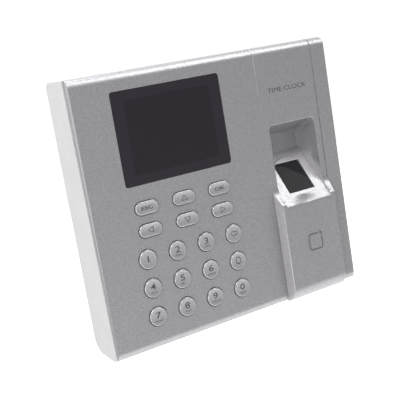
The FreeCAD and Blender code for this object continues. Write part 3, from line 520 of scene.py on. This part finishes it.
# ------------------------------------------------------------------------------ mesh work
class Shape:
    """A mesh in the making, drawn in millimetres: x right, y up and z out."""

    MERGE = 1e-4
    NODE_MERGE = 0.002
    FLAT = math.radians(0.3)
    ROUND_STEPS = 50
    SEAM_SHORTEST = 1.0
    SEAM_ANGLE = 60.0
    SEAM_SEGMENTS = 4

    def __init__(self, name: str) -> None:
        """Start an empty shape."""
        self.name = name
        self.mesh = bmesh.new()

    @classmethod
    def from_node(cls, name: str, node: str) -> "Shape":
        """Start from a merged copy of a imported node.

        Args:
            name: The new piece's name.
            node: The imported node.

        Returns:
            The shape, with its flat faces whole again.
        """
        made = cls(name)
        made.mesh.from_mesh(frame["nodes"][node].data)
        away = facing().inverted() @ Matrix.Scale(1 / MM, 4)
        bmesh.ops.transform(made.mesh, matrix=away, verts=made.mesh.verts)
        bmesh.ops.remove_doubles(made.mesh, verts=made.mesh.verts, dist=cls.NODE_MERGE)
        bmesh.ops.dissolve_limit(made.mesh, angle_limit=cls.FLAT, verts=made.mesh.verts,
                                 edges=made.mesh.edges)
        return made

    def block(self, across: float, up: float, low: float, high: float, x: float = 0.0,
              y: float = 0.0) -> list[BMVert]:
        """Add a box between two depths.

        Args:
            across: Its width.
            up: Its height.
            low: Its back, in millimetres out of the face.
            high: Its front.
            x: Its middle, to the right.
            y: Its middle, upwards.

        Returns:
            The new corners.
        """
        made = bmesh.ops.create_cube(self.mesh, size=1.0)["verts"]
        bmesh.ops.scale(self.mesh, vec=(across, up, high - low), verts=made)
        bmesh.ops.translate(self.mesh, vec=(x, y, (low + high) / 2), verts=made)
        return made

    def capsule(self, radius: float, reach: float, level: float) -> list[BMFace]:
        """Add a flat disc, or a pill shape where it has a reach.

        Args:
            radius: Radius of its ends.
            reach: How far its ends' middles stand from its own middle, along x.
            level: Its height out of the face.

        Returns:
            The new face.
        """
        half_step = Matrix.Rotation(math.pi / self.ROUND_STEPS, 4, "Z")
        made = bmesh.ops.create_circle(self.mesh, cap_ends=True, segments=self.ROUND_STEPS, radius=radius,
                                       matrix=half_step)["verts"]
        for side in (-1, 1):
            half = [vert for vert in made if vert.co.x * side > 0]
            bmesh.ops.translate(self.mesh, vec=(side * reach, 0, level), verts=half)
        return list(made[0].link_faces)

    def raised(self, faces: list[BMFace], height: float, closed: bool = False) -> list[BMFace]:
        """Pull faces out along z.

        Args:
            faces: The faces.
            height: How far they go.
            closed: Whether the faces they start from stay, to close the back.

        Returns:
            The faces at the far end.
        """
        made = bmesh.ops.extrude_face_region(self.mesh, geom=faces)["geom"]
        if not closed:
            bmesh.ops.delete(self.mesh, geom=faces, context="FACES_ONLY")
        moved = [item for item in made if isinstance(item, BMVert)]
        bmesh.ops.translate(self.mesh, vec=(0, 0, height), verts=moved)
        return [item for item in made if isinstance(item, BMFace)]

    def tidy(self) -> None:
        """Merge what coincides, drop faces with no area and point every face outwards."""
        bmesh.ops.remove_doubles(self.mesh, verts=self.mesh.verts, dist=self.MERGE)
        bmesh.ops.dissolve_degenerate(self.mesh, dist=self.MERGE, edges=self.mesh.edges)
        bmesh.ops.recalc_face_normals(self.mesh, faces=self.mesh.faces)

    def edges(self, chosen: Callable[[Vector, Vector], bool], sharp: float = 0.0) -> list[BMEdge]:
        """Pick edges by their two ends.

        Args:
            chosen: Says whether an edge with these ends is wanted.
            sharp: The least angle between its faces, in degrees.

        Returns:
            The edges.
        """
        least = math.radians(sharp)
        return [edge for edge in self.mesh.edges if chosen(edge.verts[0].co, edge.verts[1].co)
                and edge.calc_face_angle(0.0) >= least]

    def faces(self, chosen: Callable[[BMFace], bool]) -> list[BMFace]:
        """Pick faces by a test."""
        return [face for face in self.mesh.faces if chosen(face)]

    def bevel(self, edges: Iterable[BMEdge], width: float, segments: int = 3, clamp: bool = False) -> None:
        """Round edges off.

        Args:
            edges: The edges.
            width: How far the rounding reaches from each edge.
            segments: How many facets it has.
            clamp: Whether neighbours hold it back.
        """
        bmesh.ops.bevel(self.mesh, geom=list(edges), offset=width, offset_type="OFFSET", segments=segments,
                        profile=0.5, affect="EDGES", clamp_overlap=clamp, material=-1)

    def seams(self, width: float, level: float) -> None:
        """Round the upright front edges at the shape's two sides, where it meets its neighbours.

        Args:
            width: How far the rounding reaches.
            level: The least height out of the face of the edges that are taken.
        """
        places = [vert.co.x for vert in self.mesh.verts if vert.co.z > level]
        for side in (min(places), max(places)):
            edges = self.edges(lambda a, b: max(abs(a.x - side), abs(b.x - side)) < NEAR
                               and min(a.z, b.z) > level and abs(a.y - b.y) > self.SEAM_SHORTEST,
                               self.SEAM_ANGLE)
            self.bevel(edges, width, self.SEAM_SEGMENTS)

    def inset(self, faces: list[BMFace], width: float) -> None:
        """Step faces in by a border; they stay the inner ones."""
        bmesh.ops.inset_region(self.mesh, faces=faces, thickness=width, depth=0.0, use_even_offset=True)

    def slice(self, axis: int, places: Iterable[float], chosen: Callable[[Vector], bool]) -> None:
        """Cut faces with planes square to an axis, so that they can bend.

        Args:
            axis: Which axis the planes are square to.
            places: Where the planes stand.
            chosen: Says whether a face with this middle is cut.
        """
        normal = [float(i == axis) for i in range(3)]
        for place in places:
            faces = self.faces(lambda face: chosen(face.calc_center_median()))
            geometry = set(faces)
            for face in faces:
                geometry.update(face.edges)
                geometry.update(face.verts)
            point = [place * part for part in normal]
            bmesh.ops.bisect_plane(self.mesh, geom=list(geometry), plane_co=point, plane_no=normal,
                                   dist=self.MERGE)

    def move(self, shift: Callable[[Vector], Vector | None]) -> None:
        """Move every point by what the function gives for it, if anything."""
        for vert in self.mesh.verts:
            by = shift(vert.co)
            if by is not None:
                vert.co += by

    def finish(self, material: bpy.types.Material, slot: Slot, body: str = CASE, spot: Matrix | None = None,
               sharp: float = 32.0) -> bpy.types.Object:
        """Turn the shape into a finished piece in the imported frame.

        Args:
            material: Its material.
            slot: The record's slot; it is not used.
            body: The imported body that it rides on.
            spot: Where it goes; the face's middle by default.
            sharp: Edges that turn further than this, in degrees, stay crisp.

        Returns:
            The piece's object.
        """
        place = Matrix.Scale(MM, 4) @ (spot or facing())
        bmesh.ops.transform(self.mesh, matrix=place, verts=self.mesh.verts)
        limit = math.radians(sharp)
        for face in self.mesh.faces:
            face.smooth = True
        for edge in self.mesh.edges:
            edge.smooth = edge.calc_face_angle(0.0) < limit
        data = bpy.data.meshes.new(self.name)
        normals = self.normals(limit)
        self.mesh.to_mesh(data)
        self.mesh.free()
        data.normals_split_custom_set(normals)
        return self.dress(data, material, body)

    def normals(self, limit: float) -> list[Vector]:
        """Shading directions that keep broad flat faces flat beside their rounded edges.

        Args:
            limit: Faces that turn further apart than this, in radians, don't blend.

        Returns:
            One direction for each corner of each face, in order.
        """
        self.mesh.normal_update()
        least = math.cos(limit)
        areas = {face: face.calc_area() for face in self.mesh.faces}
        found = []
        for face in self.mesh.faces:
            for corner in face.loops:
                total = Vector()
                for other in corner.vert.link_faces:
                    if other.normal.dot(face.normal) > least:
                        total += other.normal * areas[other]
                found.append(total.normalized() if total.length > 0 else face.normal.copy())
        return found

    def dress(self, data: bpy.types.Mesh, material: bpy.types.Material,
              body: str) -> bpy.types.Object:
        """Make the object that shows a mesh, and tie it to its body.

        Args:
            data: The mesh, in place.
            material: Its material.
            body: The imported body.

        Returns:
            The object.
        """
        data.materials.append(material)
        piece = bpy.data.objects.new(self.name, data)
        bpy.context.scene.collection.objects.link(piece)
        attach(piece, body)
        LOG.info("%s: %d faces on %s", self.name, len(data.polygons), body)
        return piece


@dataclass(frozen=True)
class Lettering:
    """A size and weight of lettering.

    Height is that of its capitals, widen how much wider than usual it is, and weight how much its strokes
    are fattened, as a share of the type size.
    """

    height: float
    widen: float
    weight: float = 0.0


class Drawing(Shape):
    """Flat strokes and lettering, thin as ink, that follow the surface they are printed on."""

    INK = 0.02
    CAPITAL_SHARE = 0.73

    def take(self, curve: bpy.types.Curve, place: Matrix) -> None:
        """Add a curve's mesh.

        Args:
            curve: The curve or text; it is removed.
            place: Where it goes in the drawing.
        """
        maker = bpy.data.objects.new("maker", curve)
        data = bpy.data.meshes.new_from_object(maker)
        data.transform(place)
        self.mesh.from_mesh(data)
        self.tidy()
        bpy.data.meshes.remove(data)
        bpy.data.objects.remove(maker)
        bpy.data.curves.remove(curve)

    def letters(self, text: str, style: Lettering, x: float = 0.0, y: float = 0.0) -> None:
        """Print letters or figures about a point.

        Args:
            text: What to print.
            style: The lettering's size and weight.
            x: Middle of the line.
            y: Middle of the letters' height.
        """
        size = style.height / self.CAPITAL_SHARE
        curve = bpy.data.curves.new("letters", "FONT")
        curve.body = text
        curve.size = size
        curve.align_x = "CENTER"
        curve.offset = style.weight * size
        curve.extrude = self.INK / 2
        curve.resolution_u = 4
        place = Matrix.Translation((x, y - style.height / 2, 0)) @ Matrix.Diagonal((style.widen, 1, 1, 1))
        self.take(curve, place)

    def stroke(self, points: Sequence[Point], width: float, closed: bool = False) -> None:
        """Print a line of even width.

        Args:
            points: The line's corners.
            width: Its width.
            closed: Whether it comes back to its start.
        """
        curve = bpy.data.curves.new("stroke", "CURVE")
        curve.dimensions = "3D"
        curve.bevel_depth = width / 2
        curve.bevel_resolution = 2
        curve.use_fill_caps = not closed
        spline = curve.splines.new("POLY")
        spline.points.add(len(points) - 1)
        for place, (x, y) in zip(spline.points, points):
            place.co = (x, y, 0, 1)
        spline.use_cyclic_u = closed
        self.take(curve, Matrix.Diagonal((1, 1, self.INK / width, 1)))

    def settle(self, height: Callable[[float, float], float]) -> None:
        """Lay the print on a surface whose height at each place is given."""
        self.move(lambda spot: Vector((0, 0, height(spot.x, spot.y) + self.INK / 2)))


# ------------------------------------------------------------------------------ keypad
class Mark(Enum):
    """The outlined marks on the keys, as corners round their middle."""

    UP = ((-1.9, -1.4), (1.9, -1.4), (0.0, 1.7))
    DOWN = ((-1.9, 1.4), (0.0, -1.7), (1.9, 1.4))
    LEFT = ((1.4, -1.8), (1.4, 1.8), (-1.9, 0.0))
    RIGHT = ((-1.4, -1.8), (1.9, 0.0), (-1.4, 1.8))
    BACK = ((-2.5, 0.0), (-0.3, 1.9), (-0.3, 0.9), (2.3, 0.9), (2.3, -0.9), (-0.3, -0.9), (-0.3, -1.9))
    SPACE = ((-1.9, -2.3), (-1.9, -3.1), (-0.3, -3.1), (-0.3, -2.3))


@dataclass(frozen=True)
class Legend:
    """What is printed on one key."""

    figure: str = ""
    letters: str = ""
    mark: Mark | None = None


LEGENDS = {
    "1": Legend("1"),
    "2": Legend("2", "ABC"),
    "3": Legend("3", "DEF"),
    "4": Legend("4", "GHI"),
    "5": Legend("5", "JKL"),
    "6": Legend("6", "MNO"),
    "7": Legend("7", "PQRS"),
    "8": Legend("8", "TUV"),
    "9": Legend("9", "WXYZ"),
    "0": Legend("0", "#", Mark.SPACE),
    "back": Legend(mark=Mark.BACK),
    "bell": Legend(),
    "esc": Legend("ESC"),
    "ok": Legend("OK"),
    "up": Legend(mark=Mark.UP),
    "down": Legend(mark=Mark.DOWN),
    "left": Legend(mark=Mark.LEFT),
    "right": Legend(mark=Mark.RIGHT),
}


@dataclass
class Key:
    """One key: a rimmed, dished cap over a retaining flange and a stem, and its print."""

    name: str
    finishes: Finishes
    stand: float = 1.0
    flange_level: float = 2.55
    flange_step: float = 1.05
    flange_thick: float = 1.0
    stem_radius: float = 1.7
    rim: float = 0.6
    slope: float = 0.75
    slope_drop: float = 0.22
    dish: float = 0.3
    rim_turns: tuple[int, ...] = (0, 30, 50, 70, 90)
    slope_rings: int = 4
    dish_rings: int = 5
    last_ring: float = 0.4
    sharp: float = 50.0
    nub_radius: float = 0.55
    nub_squash: tuple[float, float, float] = (1.0, 0.7, 0.6)
    nub_inset: float = 0.4
    nub_sink: float = 0.22
    word: Lettering = Lettering(2.2, 1.6, 0.02)
    figure: Lettering = Lettering(3.9, 1.4, 0.008)
    figure_lift: float = 0.2
    figure_lift_over_letters: float = 0.9
    small: Lettering = Lettering(1.35, 1.25)
    small_y: float = -2.6
    small_shift: float = 1.1
    mark_line: float = 0.62
    bell_radius: float = 1.5

    def __post_init__(self) -> None:
        """Take the key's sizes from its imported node."""
        across, up = node_size("key_" + self.name)
        self.radius = up / 2 - self.flange_step
        self.reach = (across - up) / 2
        self.back, self.front = node_depths("key_" + self.name)
        self.body = "button_" + self.name
        self.spot = facing(*node_centre("key_" + self.name))

    def height(self, x: float, y: float) -> float:
        """Height of the cap's top.

        Args:
            x: Distance to the right of the key's middle.
            y: Distance up from it.

        Returns:
            The height out of the face: a rounded rim, a short slope and a shallow dish.
        """
        inward = self.radius - math.hypot(max(abs(x) - self.reach, 0.0), y)
        if inward < self.rim:
            fall = self.rim ** 2 - (self.rim - inward) ** 2
            return self.front - self.rim + math.sqrt(max(fall, 0.0))
        share = min((inward - self.rim) / self.slope, 1.0)
        step = self.slope_drop * share * share * (3 - 2 * share)
        inner = self.radius - self.rim - self.slope
        hollow = max(inward - self.rim - self.slope, 0.0) / inner
        return self.front - step - self.dish * hollow * (2 - hollow)

    def cap(self) -> None:
        """The cap, its flange and its stem, as one moulding."""
        shape = Shape("cap_" + self.name)
        flange_top = self.front - self.stand - self.flange_level
        foot = shape.capsule(self.radius + self.flange_step, self.reach, flange_top - self.flange_thick)
        top = shape.raised(foot, self.flange_thick, closed=True)
        shape.inset(top, self.flange_step)
        top = shape.raised(top, self.front - self.rim - flange_top)
        steps = [self.rim * (1 - math.cos(math.radians(turn))) for turn in self.rim_turns]
        steps += [self.rim + self.slope * i / self.slope_rings for i in range(1, self.slope_rings + 1)]
        inner = self.radius - self.rim - self.slope
        parts = self.dish_rings + self.last_ring
        steps += [self.rim + self.slope + inner * i / parts for i in range(1, self.dish_rings + 1)]
        for before, after in zip(steps, steps[1:]):
            shape.inset(top, after - before)
        shape.move(lambda spot: Vector((0, 0, self.height(spot.x, spot.y) - spot.z))
                   if spot.z > self.front - self.rim - NEAR else None)
        self.nub(shape)
        self.stem(shape, flange_top - self.flange_thick)
        shape.tidy()
        material = self.finishes.by_slot[Slot.KEYS]
        piece = shape.finish(material, Slot.KEYS, self.body, self.spot, self.sharp)
        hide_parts("key_" + self.name)

    def stem(self, shape: Shape, level: float) -> None:
        """Add the stem behind the flange."""
        foot = shape.capsule(self.stem_radius, 0.0, self.back)
        shape.raised(foot, level - self.back, closed=True)

    def nub(self, shape: Shape) -> None:
        """Add the small locating nub on the middle key."""
        if self.name == "5":
            made = bmesh.ops.create_uvsphere(shape.mesh, u_segments=16, v_segments=10,
                                             radius=self.nub_radius)["verts"]
            bmesh.ops.scale(shape.mesh, vec=self.nub_squash, verts=made)
            spot = (0, self.radius - self.rim - self.nub_inset, self.front - self.nub_sink)
            bmesh.ops.translate(shape.mesh, vec=spot, verts=made)

    def print(self) -> None:
        """The figures, letters or mark on the cap."""
        legend = LEGENDS[self.name]
        drawing = Drawing("print_" + self.name)
        if len(legend.figure) > 1:
            drawing.letters(legend.figure, self.word)
        elif legend.figure:
            lift = self.figure_lift_over_letters if legend.letters else self.figure_lift
            drawing.letters(legend.figure, self.figure, y=lift)
        if legend.letters:
            shift = self.small_shift if legend.mark else 0.0
            drawing.letters(legend.letters, self.small, x=shift, y=self.small_y)
        if legend.mark:
            drawing.stroke(legend.mark.value, self.mark_line, closed=legend.mark is not Mark.SPACE)
        if self.name == "bell":
            self.bell(drawing)
        drawing.settle(self.height)
        drawing.finish(self.finishes.ink, Slot.BLACK, self.body, self.spot)

    def bell(self, drawing: Drawing) -> None:
        """Draw the bell: its dome, the brim under it and the clapper."""
        side = self.bell_radius
        dome = [(-side, -0.9), *arc((0.0, 0.9), side, 180, 0, 12), (side, -0.9)]
        drawing.stroke(dome, 0.5)
        drawing.stroke([(-2.3, -1.5), (2.3, -1.5)], 0.42)
        drawing.stroke(arc((0.0, -1.5), 0.7, 180, 360, 8), 0.4)

    def build(self) -> None:
        """Make the key's pieces."""
        self.cap()
        self.print()


# ------------------------------------------------------------------------------ display
@dataclass
class Display:
    """The glossy lens over the display."""

    finishes: Finishes
    corner: float = 1.65
    chamfer: float = 0.28
    sharp: float = 30.0

    def build(self) -> None:
        """Make the lens, with a polished chamfer round its front."""
        shape = Shape("screen_lens")
        across, up = node_size("display_lens")
        back, front = node_depths("display_lens")
        shape.block(across, up, back, front)
        shape.bevel(shape.edges(lambda a, b: abs(a.z - b.z) > 0.5), self.corner, 6, clamp=True)
        rim = shape.edges(lambda a, b: min(a.z, b.z) > front - NEAR, self.sharp)
        shape.bevel(rim, self.chamfer, 2)
        material = self.finishes.by_slot[Slot.LENS]
        piece = shape.finish(material, Slot.LENS, spot=facing(*node_centre("display_lens")))
        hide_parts("display_lens")


# ------------------------------------------------------------------------------ case
@dataclass
class Case:
    """The front cover and the rear shell."""

    finishes: Finishes
    edge_break: float = 0.35
    seam_break: float = 0.8
    shell_break: float = 0.3
    sharp: float = 40.0
    front_level: float = -0.05

    def front_cover(self) -> None:
        """The face, with a fine break on every front edge, so that the light picks out its openings."""
        shape = Shape.from_node("face_cover", "front_cover")
        shape.seams(self.seam_break, self.front_level)
        front = shape.edges(lambda a, b: min(a.z, b.z) > self.front_level, self.sharp)
        shape.bevel(front, self.edge_break, 2)
        piece = shape.finish(self.finishes.by_slot[Slot.SILVER], Slot.SILVER)
        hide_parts("front_cover")

    def rear_shell(self) -> None:
        """The deep shell behind the face, with softened corners."""
        shape = Shape.from_node("rear_shell", "rear_cover")
        half = node_size("rear_cover")[0] / 2
        outer = shape.edges(lambda a, b: min(abs(a.x), abs(b.x)) > half - NEAR, self.sharp)
        shape.bevel(outer, self.shell_break, 3)
        piece = shape.finish(self.finishes.by_slot[Slot.SHELL], Slot.SHELL)
        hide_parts("rear_cover")

    def build(self) -> None:
        """Make both covers."""
        self.front_cover()
        self.rear_shell()


@dataclass
class SensorColumn:
    """The reader column: its cover, the reader's glass, the finger guide and the card mark."""

    finishes: Finishes
    edge_break: float = 0.45
    seam_break: float = 0.8
    sharp: float = 30.0
    dish_depth: float = 1.3
    dish_width: float = 26.0
    dish_height: float = 12.0
    dish_y: float = -19.6
    dish_margin: float = 3.0
    dish_slant: float = -0.4
    skin_level: float = 3.0
    front_level: float = -0.05
    deepest_break: float = -18.9
    crest_above_dish: float = 1.5
    crest_reach: float = 5.5
    slice_step: float = 1.0
    glass_sink: float = 0.9
    glass_round: float = 0.25
    guide_width: float = 9.0
    guide_height: float = 4.8
    guide_line: float = 0.8
    guide_drop: float = 1.6
    guide_proud: float = 0.8
    card_spot: Point = (0.6, -46.4)
    card_size: float = 10.2
    card_corner: float = 1.7
    card_line: float = 0.42
    card_gap: float = 2.6
    wave_inset: float = 1.6
    wave_radii: tuple[float, ...] = (1.1, 2.2)
    wave_line: float = 0.9
    name_y: float = 54.3
    name_style: Lettering = Lettering(3.0, 1.28)

    def cover(self) -> None:
        """The column's cover, with broken edges and a soft dish over the block's crest."""
        shape = Shape.from_node("column_cover", "sensor_cover")
        middle = node_centre("sensor_cover")[0]
        shape.seams(self.seam_break, self.front_level)
        crest = self.dish_y + self.crest_above_dish
        visible = shape.edges(lambda a, b: min(a.z, b.z) > self.deepest_break
                              and abs(min(a.y, b.y) - crest) > self.crest_reach, self.sharp)
        shape.bevel(visible, self.edge_break, 2)
        half_width, half_height = self.dish_width / 2, self.dish_height / 2

        def near(spot: Vector) -> bool:
            """Whether a place is in or beside the dish."""
            across, along = abs(spot.x - middle), abs(spot.y - self.dish_y)
            return across < half_width + self.dish_margin and along < half_height + self.dish_margin

        columns = int(self.dish_width / self.slice_step)
        shape.slice(0, [middle - half_width + i * self.slice_step for i in range(columns + 1)], near)
        rows = int(self.dish_height / self.slice_step)
        shape.slice(1, [self.dish_y - half_height + i * self.slice_step for i in range(rows + 1)], near)

        def sink(spot: Vector) -> Vector | None:
            """How far the dish moves a point of the outer skin."""
            across, along = (spot.x - middle) / half_width, (spot.y - self.dish_y) / half_height
            if abs(across) >= 1 or abs(along) >= 1 or spot.z < self.skin_level:
                return None
            share = (1 - across ** 2) ** 2 * (1 - along ** 2) ** 2
            return Vector((0, self.dish_slant, -1)) * self.dish_depth * share

        shape.move(sink)
        piece = shape.finish(self.finishes.by_slot[Slot.SILVER], Slot.SILVER)
        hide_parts("sensor_cover")

    def platform(self) -> Matrix:
        """The tilted platform's frame, with its origin at the middle of the reader's window."""
        low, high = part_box("sensor_glass")
        glass = (low + high) / 2 / MM
        lean = facing(tilt=PLATFORM_TILT).to_3x3() @ Vector((0, 0, 1))
        middle = glass + lean * (self.glass_sink + self.glass_thick() / 2)
        return facing(middle.x, middle.z, FACE_LEVEL - middle.y, PLATFORM_TILT)

    def glass_thick(self) -> float:
        """How thick the reader's glass is, from the height and depth of its tilted box."""
        low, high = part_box("sensor_glass")
        tall, deep = (high.z - low.z) / MM, (high.y - low.y) / MM
        return (deep * math.cos(LEAN) - tall * math.sin(LEAN)) / math.cos(2 * LEAN)

    def glass(self) -> None:
        """The reader's glass, with a polished edge."""
        shape = Shape("reader_window")
        across, up = node_size("sensor_glass")
        thick = self.glass_thick()
        tall = (up - thick * math.sin(LEAN)) / math.cos(LEAN)
        front = -self.glass_sink
        shape.block(across, tall, front - thick, front)
        shape.bevel(shape.edges(lambda a, b: min(a.z, b.z) > front - NEAR), self.glass_round, 2)
        material = self.finishes.by_slot[Slot.GLASS]
        piece = shape.finish(material, Slot.GLASS, spot=self.platform())
        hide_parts("sensor_glass")

    def guide(self) -> None:
        """The fingertip guide, a fine raised arc above the window."""
        foot = node_size("sensor_glass")[1] / 2 / math.cos(LEAN) - self.guide_drop
        half_turn = arc((0, 0), 1.0, 0, 180, 32)
        points = [(x * self.guide_width, foot + y * self.guide_height) for x, y in half_turn]
        ridge = Drawing("finger_guide")
        ridge.stroke(points, self.guide_line)
        rise = self.guide_line / Drawing.INK * self.guide_proud
        bmesh.ops.scale(ridge.mesh, vec=(1, 1, rise), verts=ridge.mesh.verts)
        ridge.finish(self.finishes.by_slot[Slot.SILVER], Slot.SILVER, spot=self.platform())

    def card_mark(self) -> None:
        """The card mark on the block: a rounded square whose open corner sends out two waves."""
        middle = node_centre("sensor_cover")[0]
        front = node_depths("sensor_cover")[1]
        side, turn = self.card_size / 2, self.card_corner
        inner = side - turn
        outline = [(side - self.card_gap, side)]
        outline += arc((-inner, inner), turn, 90, 180, 6)
        outline += arc((-inner, -inner), turn, 180, 270, 6)
        outline += arc((inner, -inner), turn, 270, 360, 6)
        outline += [(side, side - self.card_gap)]
        drawing = Drawing("card_mark")
        drawing.stroke(outline, self.card_line)
        source = (side - self.wave_inset, side - self.wave_inset)
        for radius in self.wave_radii:
            drawing.stroke(arc(source, radius, 5, 85, 8), self.card_line * self.wave_line)
        drawing.settle(lambda x, y: front)
        spot = facing(middle + self.card_spot[0], self.card_spot[1])
        drawing.finish(self.finishes.ink, Slot.BLACK, spot=spot)

    def name_line(self) -> None:
        """A plain name line above the finger recess."""
        drawing = Drawing("name_line")
        drawing.letters("TIME CLOCK", self.name_style)
        drawing.settle(lambda x, y: 0.0)
        spot = facing(node_centre("sensor_cover")[0], self.name_y)
        drawing.finish(self.finishes.ink, Slot.BLACK, spot=spot)

    def build(self) -> None:
        """Make the column's pieces."""
        self.cover()
        self.glass()
        self.guide()
        self.card_mark()
        self.name_line()


# ------------------------------------------------------------------------------ studio
@dataclass(frozen=True)
class Softbox:
    """An area light that points at the clock: where it hangs in metres, its width and its power in watts."""

    name: str
    spot: tuple[float, float, float]
    size: float
    power: float

    def hang(self) -> None:
        """Hang the light."""
        data = bpy.data.lights.new(self.name, "AREA")
        data.size = self.size
        data.energy = self.power
        light = bpy.data.objects.new(self.name, data)
        aim = (-Vector(self.spot)).to_track_quat("-Z", "Y").to_matrix().to_4x4()
        light.matrix_world = Matrix.Translation(self.spot) @ aim
        bpy.context.scene.collection.objects.link(light)


SOFTBOXES = (
    Softbox("top_light", (-0.1, 0.25, 1.2), 0.8, 12.0),
    Softbox("key_light", (0.62, -0.5, 1.0), 0.8, 7.0),
    Softbox("front_light", (-0.42, -0.36, 0.5), 0.3, 2.8),
    Softbox("left_light", (-0.95, -0.6, -0.1), 0.7, 4.5),
)


@dataclass
class Studio:
    """A plain pale floor, soft lights and the camera."""

    azimuth: float = 29.92
    elevation: float = 10.08
    roll: float = -9.49
    camera_spot: tuple[float, float, float] = (-0.2656, -0.4574, 0.0862)
    focal_mm: float = 74.95
    floor_level: float = -1.2
    floor_size: float = 14.0
    floor_glow: float = 0.75
    glow_from: float = -1600.0
    glow_to: float = -900.0
    room: float = 0.33
    backdrop: float = 1.05
    backdrop_from: float = 0.4

    def camera(self) -> None:
        """Set the camera up."""
        data = bpy.data.cameras.new("camera")
        data.lens = self.focal_mm
        data.clip_start = 0.01
        camera = bpy.data.objects.new("camera", data)
        turn = Matrix.Rotation(math.radians(-self.azimuth), 4, "Z")
        nod = Matrix.Rotation(math.radians(90 - self.elevation), 4, "X")
        lean = Matrix.Rotation(math.radians(self.roll), 4, "Z")
        camera.matrix_world = Matrix.Translation(self.camera_spot) @ turn @ nod @ lean
        bpy.context.scene.collection.objects.link(camera)
        bpy.context.scene.camera = camera

    def floor(self) -> None:
        """Lay the floor."""
        shader = Shader("floor_paper", (0.95, 0.95, 0.95), 0.9)
        grain = shader.grain(40.0)
        shader.feed("Base Color", shader.blend(grain, (0.94, 0.94, 0.94), (0.96, 0.96, 0.96)))
        behind = shader.along("Y").ramp(self.glow_from, self.glow_to)
        shader.feed("Emission Color", shader.blend(behind, (0.0, 0.0, 0.0), (1.0, 1.0, 1.0)))
        shader.feed("Emission Strength", self.floor_glow)
        mesh = bmesh.new()
        bmesh.ops.create_grid(mesh, x_segments=1, y_segments=1, size=self.floor_size / 2)
        bmesh.ops.translate(mesh, vec=(0, 0, self.floor_level), verts=mesh.verts)
        data = bpy.data.meshes.new("floor")
        mesh.to_mesh(data)
        mesh.free()
        data.materials.append(shader.material)
        floor = bpy.data.objects.new("floor", data)
        bpy.context.scene.collection.objects.link(floor)

    def sky(self) -> None:
        """Fill the room with light: white behind the clock, and dimmer in front of it."""
        world = bpy.data.worlds.new("room")
        world.use_nodes = True
        tree = world.node_tree
        place = tree.nodes.new("ShaderNodeTexCoord")
        parts = tree.nodes.new("ShaderNodeSeparateXYZ")
        level = tree.nodes.new("ShaderNodeMapRange")
        tree.links.new(place.outputs["Generated"], parts.inputs[0])
        tree.links.new(parts.outputs["Y"], level.inputs["Value"])
        tree.links.new(level.outputs[0], tree.nodes["Background"].inputs["Strength"])
        limits = {"From Min": 0.0, "From Max": self.backdrop_from,
                  "To Min": self.room, "To Max": self.backdrop}
        for socket, value in limits.items():
            level.inputs[socket].default_value = value
        tree.nodes["Background"].inputs["Color"].default_value = (1, 1, 1, 1)
        bpy.context.scene.world = world
        bpy.context.scene.view_settings.view_transform = "Standard"

    def build(self) -> None:
        """Make the studio."""
        self.camera()
        self.floor()
        self.sky()
        for softbox in SOFTBOXES:
            softbox.hang()


def dress_nodes(finishes: Finishes) -> None:
    """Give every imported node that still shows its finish.

    Args:
        finishes: The finishes, by the record's slots.
    """
    slots = {part["node"]: Slot(part["material_slot"]) for part in frame["record"]["subparts"]}
    for name, node in frame["nodes"].items():
        if node.hide_render:
            continue
        node.data.materials.clear()
        node.data.materials.append(finishes.by_slot[slots[name]])
        LOG.info("%s: packed node in %s", name, slots[name].value)


def main() -> None:
    """Build the studio and the clock, piece by piece."""
    logging.basicConfig(level=logging.INFO, format="%(name)s %(message)s")
    finishes = Finishes()
    Studio().build()
    Case(finishes).build()
    SensorColumn(finishes).build()
    Display(finishes).build()
    for name in LEGENDS:
        Key(name, finishes).build()
    dress_nodes(finishes)


if __name__ == "__main__":
    main()
